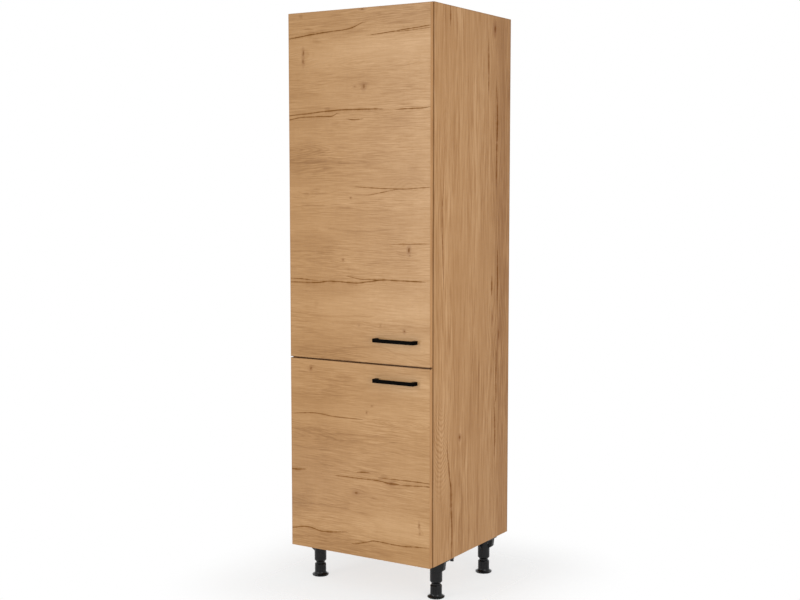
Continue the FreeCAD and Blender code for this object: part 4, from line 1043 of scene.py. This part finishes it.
# Strength of the white surroundings as light and as the backdrop that is seen
ROOM_LIGHT = 0.545
BACKDROP = 1.0

# Lamps: name, watts, width and height in metres, place, and the point that they face
LAMPS = (
    ("front_lamp", 32.0, 0.4, 2.4, (-1.42, -3.4, 1.60), (0.2, -0.28, 1.4)),
    ("floor_lamp", 2.4, 1.2, 0.3, (-0.85, -1.55, 0.03), (0.0, -0.28, 0.30)),
    ("right_lamp", 36.0, 1.4, 2.2, (2.8, -1.7, 1.36), (0.3, -0.1, 1.0)),
)

# Camera of the photo: sensor and lens in mm, place in metres, tilt below level and turn in degrees
SENSOR = 36.0
LENS = 57.95
CAMERA_PLACE = (2.5308, -4.0590, 1.4732)
CAMERA_TILT = 5.09
CAMERA_TURN = 31.92


def pale_floor():
    """Pale floor that keeps the unit's shadow and fades into the white background a short way off."""
    mesh = bpy.data.meshes.new("floor")
    build = bmesh.new()
    bmesh.ops.create_circle(build, cap_ends=True, segments=96, radius=FLOOR_RADIUS)
    build.to_mesh(mesh)
    build.free()
    floor = bpy.data.objects.new("floor", mesh)
    bpy.context.scene.collection.objects.link(floor)
    finish = Finish("floor")
    mottle = finish.noise(finish.place, scale=6.0, detail=3.0)
    colour = finish.shades(0.5 + mottle * 0.5, FLOOR_SHADES)
    pale = finish.add("ShaderNodeBsdfDiffuse", sockets={"Color": colour})
    clear = finish.add("ShaderNodeBsdfTransparent")
    beside = (abs(finish.x) - HALF_WIDTH).most(0.0)
    before = (abs(finish.y) - BACK_Y).most(0.0)
    off = (beside * beside + before * before) ** 0.5
    shown = off.ramp(FLOOR_FADE, 0.0) * FLOOR_SHARE
    shader = finish.add("ShaderNodeMixShader", sockets={0: shown, 1: clear, 2: pale})
    finish.add("ShaderNodeOutputMaterial", sockets={"Surface": shader})
    mesh.materials.append(finish.material)


def lamp(name, watts, wide, high, place, target):
    """Soft rectangular lamp that faces a point of the unit."""
    light = bpy.data.lights.new(name, "AREA")
    light.shape = "RECTANGLE"
    light.size, light.size_y = wide, high
    light.energy = watts
    piece = bpy.data.objects.new(name, light)
    piece.location = place
    piece.rotation_euler = (Vector(target) - Vector(place)).to_track_quat("-Z", "Y").to_euler()
    piece.visible_camera = False
    bpy.context.scene.collection.objects.link(piece)


def studio_light():
    """Even white surroundings with three soft lamps: tall in front, low by the floor, wide at the right."""
    world = bpy.data.worlds.new("studio")
    bpy.context.scene.world = world
    world.use_nodes = True
    sky = Tree(world.node_tree)
    sky.tree.nodes.clear()
    seen = sky.add("ShaderNodeLightPath", out="Is Camera Ray")
    rays = seen.socket.node.outputs
    for mirrored in ("Is Glossy Ray", "Is Transmission Ray"):
        seen = seen.most(Tone(sky, rays[mirrored]))
    light = sky.add("ShaderNodeBackground", sockets={"Color": (1, 1, 1, 1), "Strength": ROOM_LIGHT})
    backdrop = sky.add("ShaderNodeBackground", sockets={"Color": (1, 1, 1, 1), "Strength": BACKDROP})
    shader = sky.add("ShaderNodeMixShader", sockets={0: seen, 1: light, 2: backdrop})
    sky.add("ShaderNodeOutputWorld", sockets={"Surface": shader})
    for one in LAMPS:
        lamp(*one)


def photo_camera():
    """The camera that took the photo, fitted to the corners of the unit."""
    lens = bpy.data.cameras.new("camera")
    lens.sensor_width = SENSOR
    lens.lens = LENS
    camera = bpy.data.objects.new("camera", lens)
    camera.location = CAMERA_PLACE
    camera.rotation_euler = (math.radians(90 - CAMERA_TILT), 0, math.radians(CAMERA_TURN))
    bpy.context.scene.collection.objects.link(camera)
    bpy.context.scene.camera = camera


pale_floor()
studio_light()
photo_camera()
bpy.context.scene.view_settings.view_transform = "Standard"
